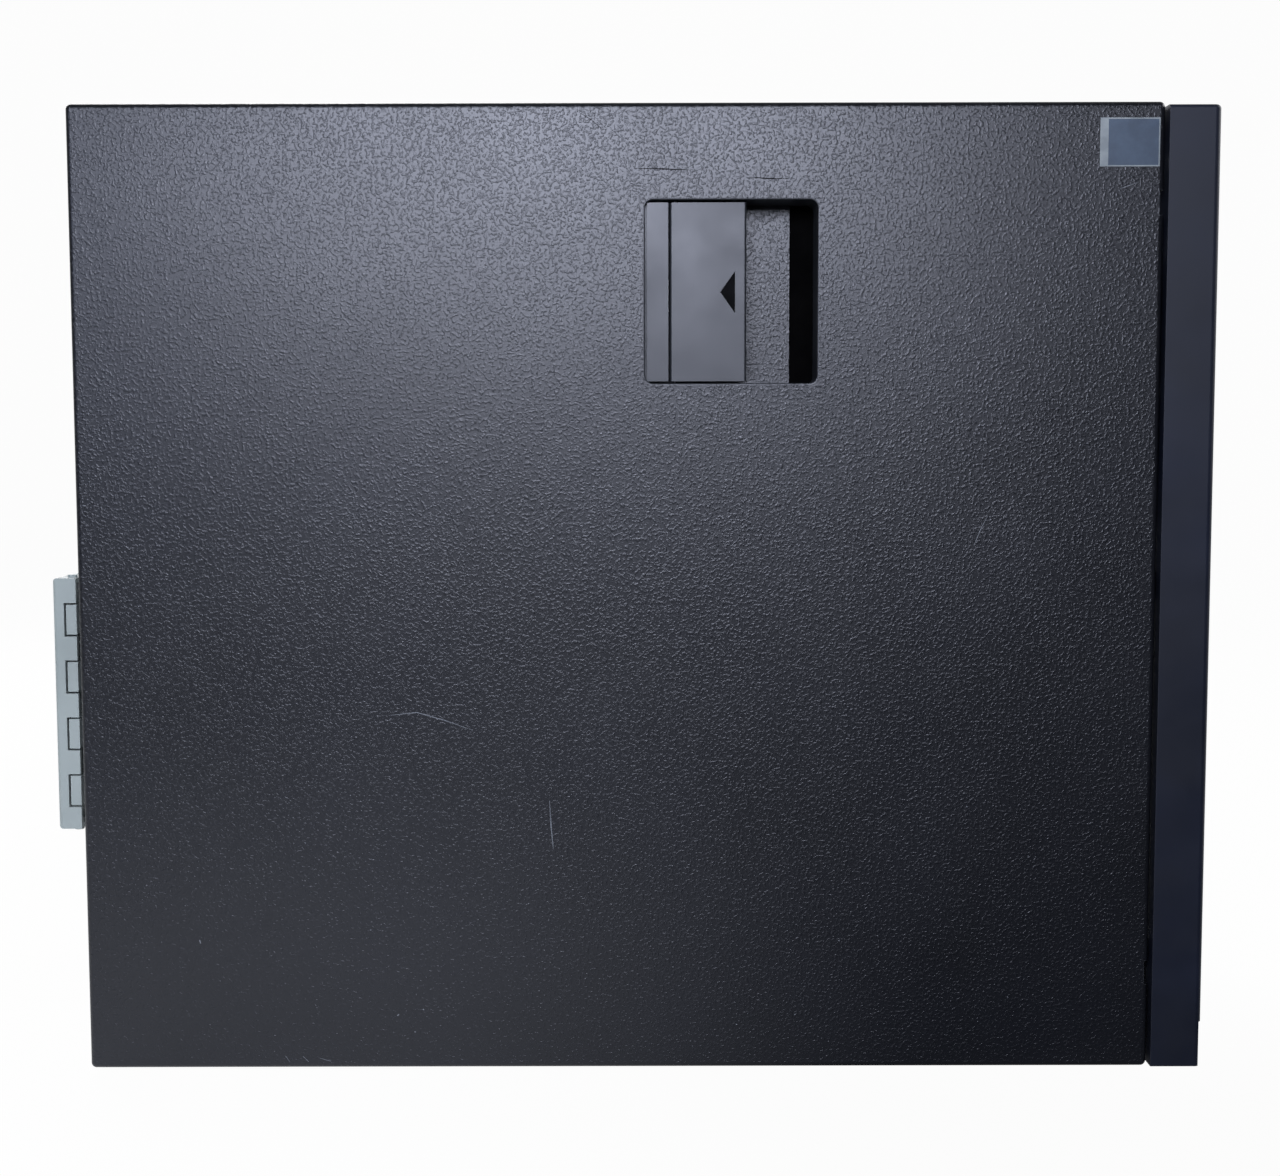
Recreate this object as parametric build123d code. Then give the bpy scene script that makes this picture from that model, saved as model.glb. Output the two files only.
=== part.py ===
from build123d import *
import math
import os

# Mini-tower desktop computer, standing upright.
# +X points out of the front, -Y out of the removable side cover, +Z up.
# The origin is on the floor, under the middle of the case's box. Lengths are millimetres.

# Outer case
CASE_DEPTH = 418.0
CASE_WIDTH = 175.0
CASE_HEIGHT = 360.0
FOOT_HEIGHT = 3.0
FOOT_RADIUS = 9.0
FOOT_INSET = 30.0
SHEET = 1.0
FOLD_RADIUS = 2.0
CLEAR = 0.3
SEAM = 0.4
RUN = 0.05
CUT_OVER = 1.0

# Side cover, its bottom hooks and the notches in its front fold
COVER_FLANGE = 12.0
COVER_REAR_FLANGE = 9.0
COVER_NOTCH_DEPTH = 1.6
COVER_NOTCH_HEIGHT = 9.0
COVER_NOTCH_INSET = 36.0
HOOK_COUNT = 3
HOOK_WIDTH = 12.0
HOOK_REACH = 5.5
HOOK_RAISE = 2.0
HOOK_SLOT_HEIGHT = 17.0
RAIL_HEIGHT = 22.0

# Cover latch: pocket, hinge strip, paddle and sliding bar
POCKET_FROM_REAR = 209.2
POCKET_FROM_TOP = 34.7
POCKET_WIDTH = 63.0
POCKET_HEIGHT = 66.3
POCKET_CORNER = 3.0
POCKET_DEPTH = 18.0
POCKET_WALL = 1.5
POCKET_RIM = 4.0
POCKET_SLOT_WIDTH = 9.0
STRIP_WIDTH = 8.6
STRIP_THICKNESS = 4.0
PADDLE_WIDTH = 28.0
PADDLE_THICKNESS = 2.4
PADDLE_RECESS = 1.6
PADDLE_GAP = 0.9
PADDLE_BARREL = 2.0
PADDLE_OVERHANG = 1.2
PADDLE_LIP = 7.0
PADDLE_TAIL = 22.0
PADDLE_TAIL_WIDTH = 10.0
PADDLE_TAIL_THICKNESS = 1.6
PADDLE_TURN = 30.0
PIN_RADIUS = 1.0
ARROW_HEIGHT = 15.6
ARROW_WIDTH = 5.6
ARROW_INSET = 4.0
ARROW_DEPTH = 0.7
BAR_THICKNESS = 1.2
BAR_WIDTH = 96.0
BAR_HOOK_WIDTH = 8.0
BAR_HOOK_NOSE = 5.0
BAR_HOOK_HEIGHT = 6.0
BAR_STAND_OFF = 7.0
SPRING_THICKNESS = 0.5
SPRING_HEIGHT = 8.0

# Front bezel
BEZEL_DEPTH = 19.0
BEZEL_GAP = 1.5
BEZEL_DROP = 1.0
BEZEL_WALL = 2.5
BEZEL_CORNER = 2.5
BEZEL_EDGE = 1.5
BEZEL_CLIP_WIDTH = 10.0
BEZEL_CLIP_THICKNESS = 2.0
BEZEL_CLIP_REACH = 6.0
BEZEL_RETURN = 10.0
GRILLE_WIDTH = 138.0
GRILLE_HEIGHT = 180.0
GRILLE_FROM_BASE = 24.0
GRILLE_PITCH = 10.0
GRILLE_HOLE = 4.6
GRILLE_THICKNESS = 2.0
GRILLE_RIM = 3.0
FRONT_VENT = 10.0
FRONT_VENT_COUNT = 9

# Drive bays
DRIVE_WIDTH = 146.0
DRIVE_HEIGHT = 41.3
DRIVE_LENGTH = 160.0
DRIVE_FROM_TOP = 12.0
BAY_PITCH = 46.0
BAY_GAP = 1.6
DISC_RADIUS = 60.0
TRAY_TRAVEL = 130.0
HDD_WIDTH = 101.6
HDD_HEIGHT = 26.1
HDD_LENGTH = 147.0
HDD_FROM_BASE = 12.0
HDD_FROM_FRONT = 9.6
HDD_PITCH = 36.0

# Front panel with the power button
IO_HEIGHT = 34.0
IO_WIDTH = 118.0
IO_BELOW_BAYS = 8.0
BUTTON_RADIUS = 8.0
BUTTON_TRAVEL = 1.5

# Rear
PSU_WIDTH = 150.0
PSU_HEIGHT = 86.0
PSU_LENGTH = 140.0
PSU_FROM_SIDE = 6.0
SLOT_COUNT = 4
SLOT_PITCH = 20.32
SLOT_MIDDLE_Z = 139.4
BRACKET_LENGTH = 120.0
BRACKET_WIDTH = 18.4
BRACKET_TAB = 11.4
CARD_LATCH_OVERHANG = 12.7
CARD_LATCH_HEIGHT = 95.0
CARD_LATCH_DEPTH = 10.5
CARD_LATCH_WALL = 2.0
CARD_LATCH_PITCH = 21.6
CARD_LATCH_WINDOW = 12.6
CARD_LATCH_GAP = 0.7
CARD_LATCH_PIN = 1.8
SHIELD_LENGTH = 158.75
SHIELD_WIDTH = 44.45
FAN_SIZE = 92.0
FAN_DEPTH = 25.0
PSU_FAN_SIZE = 80.0
PADLOCK_RADIUS = 3.2
PADLOCK_INSET = 44.0
VENT_PITCH = 6.6
VENT_CELL = 2.9
VENT_LAP = 3.5
VENT_SHEET = 0.8

# Board
BOARD_SIZE = 244.0
BOARD_THICKNESS = 1.6
STANDOFF = 7.0
BOARD_FROM_REAR = 6.0

# Places worked out from the sizes above
X_REAR = CARD_LATCH_OVERHANG - (CASE_DEPTH + CARD_LATCH_OVERHANG) / 2
X_FRONT = X_REAR + CASE_DEPTH
X_BEZEL = X_FRONT - BEZEL_DEPTH
X_COVER = X_BEZEL - BEZEL_GAP
X_REAR_WALL = X_REAR + SHEET + CLEAR
X_INNER = X_REAR_WALL + SHEET
X_FRONT_WALL = X_COVER - SHEET - CLEAR
Y_LEFT = -CASE_WIDTH / 2
Y_RIGHT = CASE_WIDTH / 2
Y_RAIL = Y_LEFT + COVER_FLANGE + SEAM
Y_SIDE = Y_RIGHT - SHEET
Z_BASE = FOOT_HEIGHT
Z_FLOOR = Z_BASE + SHEET
Z_TOP = CASE_HEIGHT
Z_ROOF = Z_TOP - SHEET
WALL_INSET = 3.5


def block(x, y, z):
    """Box between the low and high value given for each axis."""
    middle = Pos((x[0] + x[1]) / 2, (y[0] + y[1]) / 2, (z[0] + z[1]) / 2)
    return middle * Box(x[1] - x[0], y[1] - y[0], z[1] - z[0])


def about(middle, width):
    """Low and high value of a span of the given width."""
    return (middle - width / 2, middle + width / 2)


def rod_x(x, y, z, radius):
    """Cylinder along X."""
    return Pos((x[0] + x[1]) / 2, y, z) * Rot(0, 90, 0) * Cylinder(radius, x[1] - x[0])


def rod_y(x, y, z, radius):
    """Cylinder along Y."""
    return Pos(x, (y[0] + y[1]) / 2, z) * Rot(90, 0, 0) * Cylinder(radius, y[1] - y[0])


def rod_z(x, y, z, radius):
    """Cylinder along Z."""
    return Pos(x, y, (z[0] + z[1]) / 2) * Cylinder(radius, z[1] - z[0])


def plate_x(sketch, x):
    """Sketch of (Y, Z) points, as a plate between two X values."""
    return extrude(Plane.YZ.offset(x[0]) * sketch, x[1] - x[0])


def plate_y(sketch, y):
    """Sketch of (X, Z) points, as a plate between two Y values."""
    return extrude(Plane.XZ.offset(-y[0]) * sketch, -(y[1] - y[0]))


def plate_z(sketch, z):
    """Sketch of (X, Y) points, as a plate between two Z values."""
    return extrude(Plane.XY.offset(z[0]) * sketch, z[1] - z[0])


def flat(u, v, corner=0.0):
    """Rectangle sketch between low and high values, with optional round corners."""
    width, height = u[1] - u[0], v[1] - v[0]
    shape = RectangleRounded(width, height, corner) if corner else Rectangle(width, height)
    return Pos((u[0] + u[1]) / 2, (v[0] + v[1]) / 2) * shape


def honeycomb(u, v, pitch, radius, keep=None):
    """Places of six-sided holes in staggered rows that fit between low and high values."""
    row_step = pitch * math.sqrt(3) / 2
    rows = int((v[1] - v[0] - 2 * radius) / row_step) + 1
    places = []
    for row in range(rows):
        height = (v[0] + v[1]) / 2 + (row - (rows - 1) / 2) * row_step
        shift = pitch / 2 if row % 2 else 0.0
        columns = int((u[1] - u[0] - 2 * radius - shift * 2) / pitch) + 1
        for column in range(columns):
            across = (u[0] + u[1]) / 2 + (column - (columns - 1) / 2) * pitch
            if keep is None or keep(across, height):
                places.append((across, height))
    return places


def pierced(shape, places, radius):
    """Sketch with six-sided holes let into its face."""
    face = shape.face()
    holes = [Pos(*place) * RegularPolygon(radius, 6, rotation=30) for place in places]
    return Face(face.outer_wire(), face.inner_wires() + [hole.face().outer_wire() for hole in holes])


def spread(low, high, count):
    """Evenly spaced places from low to high."""
    return [low + (high - low) * i / (count - 1) for i in range(count)]


def several(solids):
    """One node of separate solids."""
    return Compound(children=[solid for shape in solids for solid in shape.solids()])


# Places of the main groups

DRIVE_SHIFT = 7.0
CAGE_SHEET = 0.8
POCKET_X = (X_REAR + POCKET_FROM_REAR, X_REAR + POCKET_FROM_REAR + POCKET_WIDTH)
POCKET_Z = (Z_TOP - POCKET_FROM_TOP - POCKET_HEIGHT, Z_TOP - POCKET_FROM_TOP)
POCKET_MIDDLE_Z = (POCKET_Z[0] + POCKET_Z[1]) / 2
Y_COVER = Y_LEFT + SHEET
Y_POCKET_BACK = Y_LEFT + POCKET_DEPTH + POCKET_WALL
PADDLE_AXIS = (
    POCKET_X[0] + STRIP_WIDTH + PADDLE_GAP / 2 + PADDLE_BARREL,
    Y_LEFT + PADDLE_RECESS + PADDLE_BARREL,
)
BAR_Y = (Y_POCKET_BACK + CLEAR, Y_POCKET_BACK + CLEAR + BAR_THICKNESS)
PADDLE_LEVER = (BAR_Y[0] + BAR_Y[1]) / 2 - PADDLE_AXIS[1]
BAR_TRAVEL = PADDLE_LEVER * math.tan(math.radians(PADDLE_TURN))
BAR_X = about(PADDLE_AXIS[0], BAR_WIDTH)
BAR_HOOK_X = (BAR_X[0] + BAR_HOOK_WIDTH, BAR_X[1] - BAR_HOOK_WIDTH)
BAR_HOOK_Z = Z_ROOF - RAIL_HEIGHT / 2
BAR_HOOK_DEEP = COVER_FLANGE + SEAM + SHEET + CLEAR + SHEET * 2

Y_BOARD = Y_SIDE - STANDOFF - BOARD_THICKNESS
BOARD_Z = (Z_TOP - BOARD_SIZE - 18.0, Z_TOP - 18.0)
BOARD_X = (X_INNER + BOARD_FROM_REAR, X_INNER + BOARD_FROM_REAR + BOARD_SIZE)
SHIELD_Z = (BOARD_Z[1] + 1.0 - SHIELD_LENGTH, BOARD_Z[1] + 1.0)
SHIELD_Y = (Y_BOARD + 3.9 - SHIELD_WIDTH, Y_BOARD + 3.9)
FAN_MIDDLE = (SHIELD_Y[0] - FAN_SIZE / 2 - 4.0, BOARD_Z[1] - FAN_SIZE / 2 - 8.0)
FAN_HOLE_SPACING = FAN_SIZE - 9.5
VENT_RADIUS = FAN_SIZE / 2 - 4.5
PSU_X = (X_INNER, X_INNER + PSU_LENGTH)
PSU_Y = (Y_SIDE - PSU_FROM_SIDE - PSU_WIDTH, Y_SIDE - PSU_FROM_SIDE)
PSU_Z = (Z_FLOOR, Z_FLOOR + PSU_HEIGHT)
PSU_RIM = 5.0
PSU_FAN_MIDDLE = (PSU_Y[0] + PSU_FAN_SIZE / 2 + 8.0, (PSU_Z[0] + PSU_Z[1]) / 2)
PSU_SCREWS = [(y, z) for y in (PSU_Y[0] + 6, PSU_Y[1] - 6) for z in (PSU_Z[0] + 6, PSU_Z[1] - 6)]
SCREW_RADIUS = 1.7
SCREW_HEAD = 3.4
SCREW_HEAD_HEIGHT = 2.0
SCREW_REACH = 6.0
SCREW_HOLE = SCREW_RADIUS + RUN
SLOT_Z = [SLOT_MIDDLE_Z + (i - (SLOT_COUNT - 1) / 2) * SLOT_PITCH for i in range(SLOT_COUNT)]
SLOT_OPENING = 13.0
Y_BRACKET_TAB = Y_BOARD + 4.0 - BRACKET_LENGTH
BRACKET_SHEET = 0.9
PADLOCK_Y = Y_LEFT + PADLOCK_INSET
CARD_LATCH_Z = about(SLOT_MIDDLE_Z + 0.5, CARD_LATCH_HEIGHT)
CARD_LATCH_Y = (Y_LEFT + CARD_LATCH_DEPTH, Y_BRACKET_TAB - 0.5)
CARD_LATCH_AXIS = (X_REAR - 6.5, CARD_LATCH_Y[0] + 5.5)
CARD_LATCH_SIDE = X_REAR - 3.9

DRIVE_Y = about(DRIVE_SHIFT, DRIVE_WIDTH)
DRIVE_Z = (Z_TOP - DRIVE_FROM_TOP - DRIVE_HEIGHT, Z_TOP - DRIVE_FROM_TOP)
SPARE_Z = (DRIVE_Z[0] - BAY_PITCH, DRIVE_Z[1] - BAY_PITCH)
X_DRIVE_FACE = X_FRONT - 1.0
DRIVE_X = (X_DRIVE_FACE - DRIVE_LENGTH, X_DRIVE_FACE)
IO_Z = (SPARE_Z[0] - IO_BELOW_BAYS - IO_HEIGHT, SPARE_Z[0] - IO_BELOW_BAYS)
IO_Y = about(DRIVE_SHIFT, IO_WIDTH)
GRILLE_Y = about(DRIVE_SHIFT, GRILLE_WIDTH)
GRILLE_Z = (Z_BASE + GRILLE_FROM_BASE, Z_BASE + GRILLE_FROM_BASE + GRILLE_HEIGHT)
CLIP_Z = spread(Z_BASE + 40.0, Z_TOP - 36.0, 3)
Y_CLIP = Y_LEFT + COVER_REAR_FLANGE + 4.0
BEZEL_HOOK_Z = spread(Z_BASE + 30.0, IO_Z[1], 3)
Y_BEZEL_HOOK = Y_RIGHT - 12.0


def folded_pan():
    """Side panel folded from one sheet, with a flange along each edge; its outer face is on the -Y side."""
    outer = block((X_REAR, X_COVER), (Y_LEFT, Y_LEFT + COVER_FLANGE), (Z_BASE, Z_TOP))
    folds = outer.faces().sort_by(Axis.Y)[0].edges() + outer.edges().filter_by(Axis.Y)
    pan = fillet(folds, FOLD_RADIUS)
    hollow_x = (X_REAR + SHEET, X_COVER - SHEET)
    hollow_z = (Z_FLOOR, Z_ROOF)
    pan -= block(hollow_x, (Y_COVER, Y_LEFT + COVER_FLANGE + CUT_OVER), hollow_z)
    ends = (X_REAR - CUT_OVER, X_COVER + CUT_OVER)
    return pan - block(ends, (Y_LEFT + COVER_REAR_FLANGE, Y_LEFT + COVER_FLANGE + CUT_OVER), hollow_z)


def hook_places():
    """X places of the cover's bottom hooks."""
    return spread(X_REAR + 60.0, X_COVER - 60.0, HOOK_COUNT)


def make_side_cover():
    """Removable cover: pocket opening, bottom hooks and two notches in the front fold."""
    opening = plate_y(flat(POCKET_X, POCKET_Z, POCKET_CORNER), (Y_LEFT - CUT_OVER, Y_COVER + CUT_OVER))
    cover = folded_pan() - opening
    rim = cover.edges().filter_by_position(Axis.Y, Y_LEFT - RUN, Y_LEFT + RUN)
    rim = rim.filter_by_position(Axis.X, POCKET_X[0] - RUN, POCKET_X[1] + RUN)
    rim = rim.filter_by_position(Axis.Z, POCKET_Z[0] - RUN, POCKET_Z[1] + RUN)
    cover = fillet(rim, SHEET * 0.6)
    for z in (Z_BASE + COVER_NOTCH_INSET, Z_TOP - COVER_NOTCH_INSET):
        notch_x = (X_COVER - COVER_NOTCH_DEPTH, X_COVER + CUT_OVER)
        cover -= block(notch_x, (Y_LEFT - CUT_OVER, Y_LEFT + COVER_FLANGE), about(z, COVER_NOTCH_HEIGHT))
    for x in hook_places():
        riser_y = (Y_LEFT + COVER_FLANGE - SHEET, Y_LEFT + COVER_FLANGE)
        cover += block(about(x, HOOK_WIDTH), riser_y, (Z_FLOOR, Z_FLOOR + HOOK_RAISE + SHEET))
        tongue_y = (riser_y[0], riser_y[1] + HOOK_REACH)
        tongue_z = (Z_FLOOR + HOOK_RAISE, Z_FLOOR + HOOK_RAISE + SHEET)
        cover += block(about(x, HOOK_WIDTH), tongue_y, tongue_z)
    return cover


def make_right_side_panel():
    """Fixed far side panel, which is also the tray that the circuit board stands on."""
    panel = mirror(folded_pan(), Plane.XZ)
    for x, z in board_screw_places():
        panel += rod_y(x, (Y_SIDE - STANDOFF, Y_SIDE), z, 3.0)
        panel -= rod_y(x, (Y_SIDE - STANDOFF, Y_SIDE), z, SCREW_HOLE)
    notch_x = (X_COVER - SHEET - CUT_OVER, X_COVER + CUT_OVER)
    notch_y = (DRIVE_Y[1] - DRIVE_WIDTH / 2, DRIVE_Y[1] + 1.5)
    return panel - block(notch_x, notch_y, (SPARE_Z[0] - 2.0, DRIVE_Z[1] + 2.0))


def board_screw_places():
    """X and Z places of the board's screws."""
    columns = (BOARD_X[0] + 24.0, BOARD_X[0] + 163.0, BOARD_X[1] - 8.0)
    rows = (BOARD_Z[0] + 8.0, BOARD_Z[1] - 8.0)
    return [(x, z) for x in columns for z in rows]


def make_base_pan():
    """Floor of the case, with the slotted rail that the cover's hooks enter."""
    pan = block((X_REAR, X_COVER), (Y_RAIL, -Y_RAIL), (Z_BASE, Z_FLOOR))
    rail_x = (X_INNER, X_FRONT_WALL - SHEET)
    pan += block(rail_x, (Y_RAIL, Y_RAIL + SHEET), (Z_FLOOR, Z_FLOOR + RAIL_HEIGHT))
    for x in hook_places():
        slot_z = (Z_FLOOR + 1.0, Z_FLOOR + 1.0 + HOOK_SLOT_HEIGHT)
        slot_y = (Y_RAIL - CUT_OVER, Y_RAIL + SHEET + CUT_OVER)
        pan -= block(about(x, HOOK_WIDTH + 4.0), slot_y, slot_z)
    return pan


def make_top_panel():
    """Roof of the case, with the slotted rail that the latch hooks enter."""
    panel = block((X_REAR, X_COVER), (Y_RAIL, -Y_RAIL), (Z_ROOF, Z_TOP))
    rail_x = (X_INNER, X_FRONT_WALL - SHEET)
    panel += block(rail_x, (Y_RAIL, Y_RAIL + SHEET), (Z_ROOF - RAIL_HEIGHT, Z_ROOF))
    for x in BAR_HOOK_X:
        slot_x = (x - BAR_HOOK_WIDTH / 2 - BAR_HOOK_NOSE - 0.5, x + BAR_HOOK_WIDTH / 2 + BAR_TRAVEL + 1.0)
        slot_y = (Y_RAIL - CUT_OVER, Y_RAIL + SHEET + CUT_OVER)
        panel -= block(slot_x, slot_y, about(BAR_HOOK_Z, BAR_HOOK_HEIGHT + 3.0))
    return panel


def wall_outline():
    """Outline, as (Y, Z), of the front and rear walls, cut back where the cover swings."""
    near, far = Y_LEFT + WALL_INSET, Y_SIDE
    swing = Z_BASE + COVER_FLANGE + 3.0
    shape = flat((near, far), (Z_FLOOR, Z_ROOF))
    shape -= flat((near - CUT_OVER, Y_RAIL), (Z_FLOOR - CUT_OVER, swing))
    return shape - flat((near - CUT_OVER, Y_RAIL), (Z_ROOF - CLEAR, Z_ROOF + CUT_OVER))


def make_rear_wall():
    """Rear wall: openings for power supply, cards, connectors and fan, and the padlock loop."""
    shape = wall_outline()
    psu_y = (PSU_Y[0] + PSU_RIM * 2, PSU_Y[1] - PSU_RIM * 2)
    shape -= flat(psu_y, (PSU_Z[0] + PSU_RIM, PSU_Z[1] - PSU_RIM))
    shape -= flat(SHIELD_Y, SHIELD_Z)
    slit_y = (Y_BRACKET_TAB - CLEAR, Y_BRACKET_TAB + BRACKET_SHEET + CLEAR)
    for z in SLOT_Z:
        shape -= flat((Y_BRACKET_TAB + 4.0, Y_BOARD - 2.0), about(z, SLOT_OPENING))
        shape -= flat(slit_y, about(z, BRACKET_WIDTH + CLEAR))
    shape -= Pos(*FAN_MIDDLE) * Circle(VENT_RADIUS)
    shape -= Pos(Y_LEFT + 16.0, SHIELD_Z[0] + 30.0) * SlotOverall(7.0, 3.0, rotation=90)
    for place in PSU_SCREWS + fan_screw_places():
        shape -= Pos(*place) * Circle(SCREW_HOLE)
    wall = plate_x(shape, (X_REAR_WALL, X_INNER))
    ear_x = (X_REAR - 8.0, X_REAR_WALL)
    ear_y = about(PADLOCK_Y, 4 * PADLOCK_RADIUS)
    ear_z = about(SHIELD_Z[0] + 12.0, 2.0)
    ear = block(ear_x, ear_y, ear_z)
    ear = fillet(ear.edges().filter_by(Axis.Z).sort_by(Axis.X)[:2], 3.0)
    hole_z = (ear_z[0] - CUT_OVER, ear_z[1] + CUT_OVER)
    ear -= rod_z(X_REAR - 3.2, (ear_y[0] + ear_y[1]) / 2, hole_z, PADLOCK_RADIUS)
    return wall + ear


def make_rear_fan_grille():
    """Punched steel disc welded over the round air hole of the rear wall."""
    reach = VENT_RADIUS - VENT_CELL - CLEAR
    spots = honeycomb(
        about(FAN_MIDDLE[0], 2 * VENT_RADIUS),
        about(FAN_MIDDLE[1], 2 * VENT_RADIUS),
        VENT_PITCH,
        VENT_CELL,
        lambda y, z: math.hypot(y - FAN_MIDDLE[0], z - FAN_MIDDLE[1]) < reach,
    )
    disc = Pos(*FAN_MIDDLE) * Circle(VENT_RADIUS + VENT_LAP)
    return plate_x(pierced(disc, spots, VENT_CELL), (X_REAR_WALL - VENT_SHEET, X_REAR_WALL))


def fan_screw_places():
    """Y and Z places of the rear fan's screws."""
    half = FAN_HOLE_SPACING / 2
    return [(FAN_MIDDLE[0] + a * half, FAN_MIDDLE[1] + b * half) for a in (-1, 1) for b in (-1, 1)]


def make_front_wall():
    """Inner steel front: drive bays, front connectors, air slots and slots for the bezel's clips."""
    shape = wall_outline()
    for bay in (DRIVE_Z, SPARE_Z):
        shape -= flat((DRIVE_Y[0] - CLEAR, DRIVE_Y[1] + CLEAR), (bay[0] - CLEAR, bay[1] + CLEAR))
    shape -= flat((IO_Y[0] + 5.0, IO_Y[1] - 5.0), (IO_Z[0] + 5.0, IO_Z[1] - 5.0))
    clip_hole = BEZEL_CLIP_THICKNESS + 1.6
    for z in CLIP_Z:
        shape -= flat(about(Y_CLIP, clip_hole), about(z, BEZEL_CLIP_WIDTH + 1.6))
    hook_y = (Y_BEZEL_HOOK - BEZEL_CLIP_REACH - 2.4, Y_BEZEL_HOOK + clip_hole / 2)
    for z in BEZEL_HOOK_Z:
        shape -= flat(hook_y, about(z, BEZEL_CLIP_WIDTH + 1.6))
    vent_y = (GRILLE_Y[0] + 12.0, GRILLE_Y[1] - 12.0)
    for z in spread(GRILLE_Z[0] + FRONT_VENT, GRILLE_Z[1] - FRONT_VENT, FRONT_VENT_COUNT):
        shape -= flat(vent_y, about(z, FRONT_VENT), FRONT_VENT / 2 - CLEAR)
    return plate_x(shape, (X_FRONT_WALL - SHEET, X_FRONT_WALL))


def make_rubber_feet():
    """Four round feet under the floor."""
    xs = (X_REAR + FOOT_INSET, X_COVER - FOOT_INSET)
    ys = (Y_RAIL + FOOT_INSET / 2, -Y_RAIL - FOOT_INSET / 2)
    feet = []
    for x in xs:
        for y in ys:
            foot = rod_z(x, y, (0.0, FOOT_HEIGHT), FOOT_RADIUS)
            feet.append(chamfer(foot.edges().sort_by(Axis.Z)[:1], 0.8))
    return several(feet)


# Cover latch

TONGUE_X = (PADDLE_AXIS[0] - 10.0, PADDLE_AXIS[0] + 12.0)
SPRING_X = (TONGUE_X[1] + CLEAR, TONGUE_X[1] + 17.0)
TAIL_SLOP = 1.2


def make_latch_housing():
    """Moulded pocket behind the cover's opening, with the fixed strip beside the paddle."""
    rim_x = (POCKET_X[0] - POCKET_RIM, POCKET_X[1] + POCKET_RIM)
    rim_z = (POCKET_Z[0] - POCKET_RIM, POCKET_Z[1] + POCKET_RIM)
    wall_x = (POCKET_X[0] - POCKET_WALL, POCKET_X[1] + POCKET_WALL)
    wall_z = (POCKET_Z[0] - POCKET_WALL, POCKET_Z[1] + POCKET_WALL)
    housing = plate_y(flat(rim_x, rim_z, POCKET_CORNER), (Y_COVER, Y_COVER + POCKET_WALL))
    housing += plate_y(flat(wall_x, wall_z, POCKET_CORNER), (Y_COVER, Y_POCKET_BACK))
    floor_y = Y_LEFT + POCKET_DEPTH
    pocket = flat(POCKET_X, POCKET_Z, POCKET_CORNER)
    housing -= plate_y(pocket, (Y_COVER - CUT_OVER, floor_y))
    through = (floor_y - CUT_OVER, Y_POCKET_BACK + CUT_OVER)
    finger_x = (POCKET_X[1] - POCKET_SLOT_WIDTH, POCKET_X[1] + CUT_OVER)
    housing -= plate_y(pocket, through) & block(finger_x, through, POCKET_Z)
    tail_x = (PADDLE_AXIS[0] - 3.0, PADDLE_AXIS[0] + BAR_TRAVEL + 3.0)
    housing -= block(tail_x, through, about(POCKET_MIDDLE_Z, PADDLE_TAIL_WIDTH + 2.0))
    face_y = Y_LEFT + PADDLE_RECESS
    strip_z = (POCKET_Z[0] + PADDLE_GAP, POCKET_Z[1] - PADDLE_GAP)
    strip_x = (POCKET_X[0] + PADDLE_GAP, POCKET_X[0] + STRIP_WIDTH)
    housing += block(strip_x, (face_y, face_y + STRIP_THICKNESS / 2), strip_z)
    web_y = (face_y + STRIP_THICKNESS / 2, face_y + STRIP_THICKNESS)
    housing += block((POCKET_X[0] - POCKET_WALL, strip_x[1]), web_y, strip_z)
    post_x = (SPRING_X[1], SPRING_X[1] + 3.0)
    post_y = (Y_POCKET_BACK, BAR_Y[1] + 6.0)
    housing += block(post_x, post_y, about(POCKET_MIDDLE_Z, SPRING_HEIGHT))
    pin_z = (wall_z[0] - CUT_OVER, wall_z[1] + CUT_OVER)
    return housing - rod_z(PADDLE_AXIS[0], PADDLE_AXIS[1], pin_z, PIN_RADIUS + RUN / 2)


def make_latch_pin():
    """Pin that the paddle turns on."""
    pin_z = (POCKET_Z[0] - POCKET_WALL, POCKET_Z[1] + POCKET_WALL)
    return rod_z(PADDLE_AXIS[0], PADDLE_AXIS[1], pin_z, PIN_RADIUS)


def make_latch_paddle():
    """Pull paddle with a finger lip, a sunk arrow and the tail that pushes the bar."""
    axis_x, axis_y = PADDLE_AXIS
    face_y = Y_LEFT + PADDLE_RECESS
    right = axis_x - PADDLE_BARREL + PADDLE_WIDTH
    paddle_z = (POCKET_Z[0] + PADDLE_GAP, POCKET_Z[1] - PADDLE_GAP)
    paddle = block((axis_x - PADDLE_OVERHANG, right), (face_y, face_y + PADDLE_THICKNESS), paddle_z)
    paddle += block((right - PADDLE_THICKNESS, right), (face_y, face_y + PADDLE_LIP), paddle_z)
    paddle = fillet(paddle.edges().filter_by(Axis.Z).sort_by(Axis.X)[-2:], PADDLE_THICKNESS / 3)
    paddle += rod_z(axis_x, axis_y, paddle_z, PADDLE_BARREL)
    tail_z = about(POCKET_MIDDLE_Z, PADDLE_TAIL_WIDTH)
    paddle += block(about(axis_x, PADDLE_TAIL_THICKNESS), (axis_y, axis_y + PADDLE_TAIL), tail_z)
    paddle -= rod_z(axis_x, axis_y, (paddle_z[0] - CUT_OVER, paddle_z[1] + CUT_OVER), PIN_RADIUS + RUN)
    base_x = right - ARROW_INSET
    arrow = Polyline(
        (base_x - ARROW_WIDTH, POCKET_MIDDLE_Z),
        (base_x, POCKET_MIDDLE_Z - ARROW_HEIGHT / 2),
        (base_x, POCKET_MIDDLE_Z + ARROW_HEIGHT / 2),
        close=True,
    )
    return paddle - plate_y(make_face(arrow), (face_y - CUT_OVER, face_y + ARROW_DEPTH))


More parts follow.
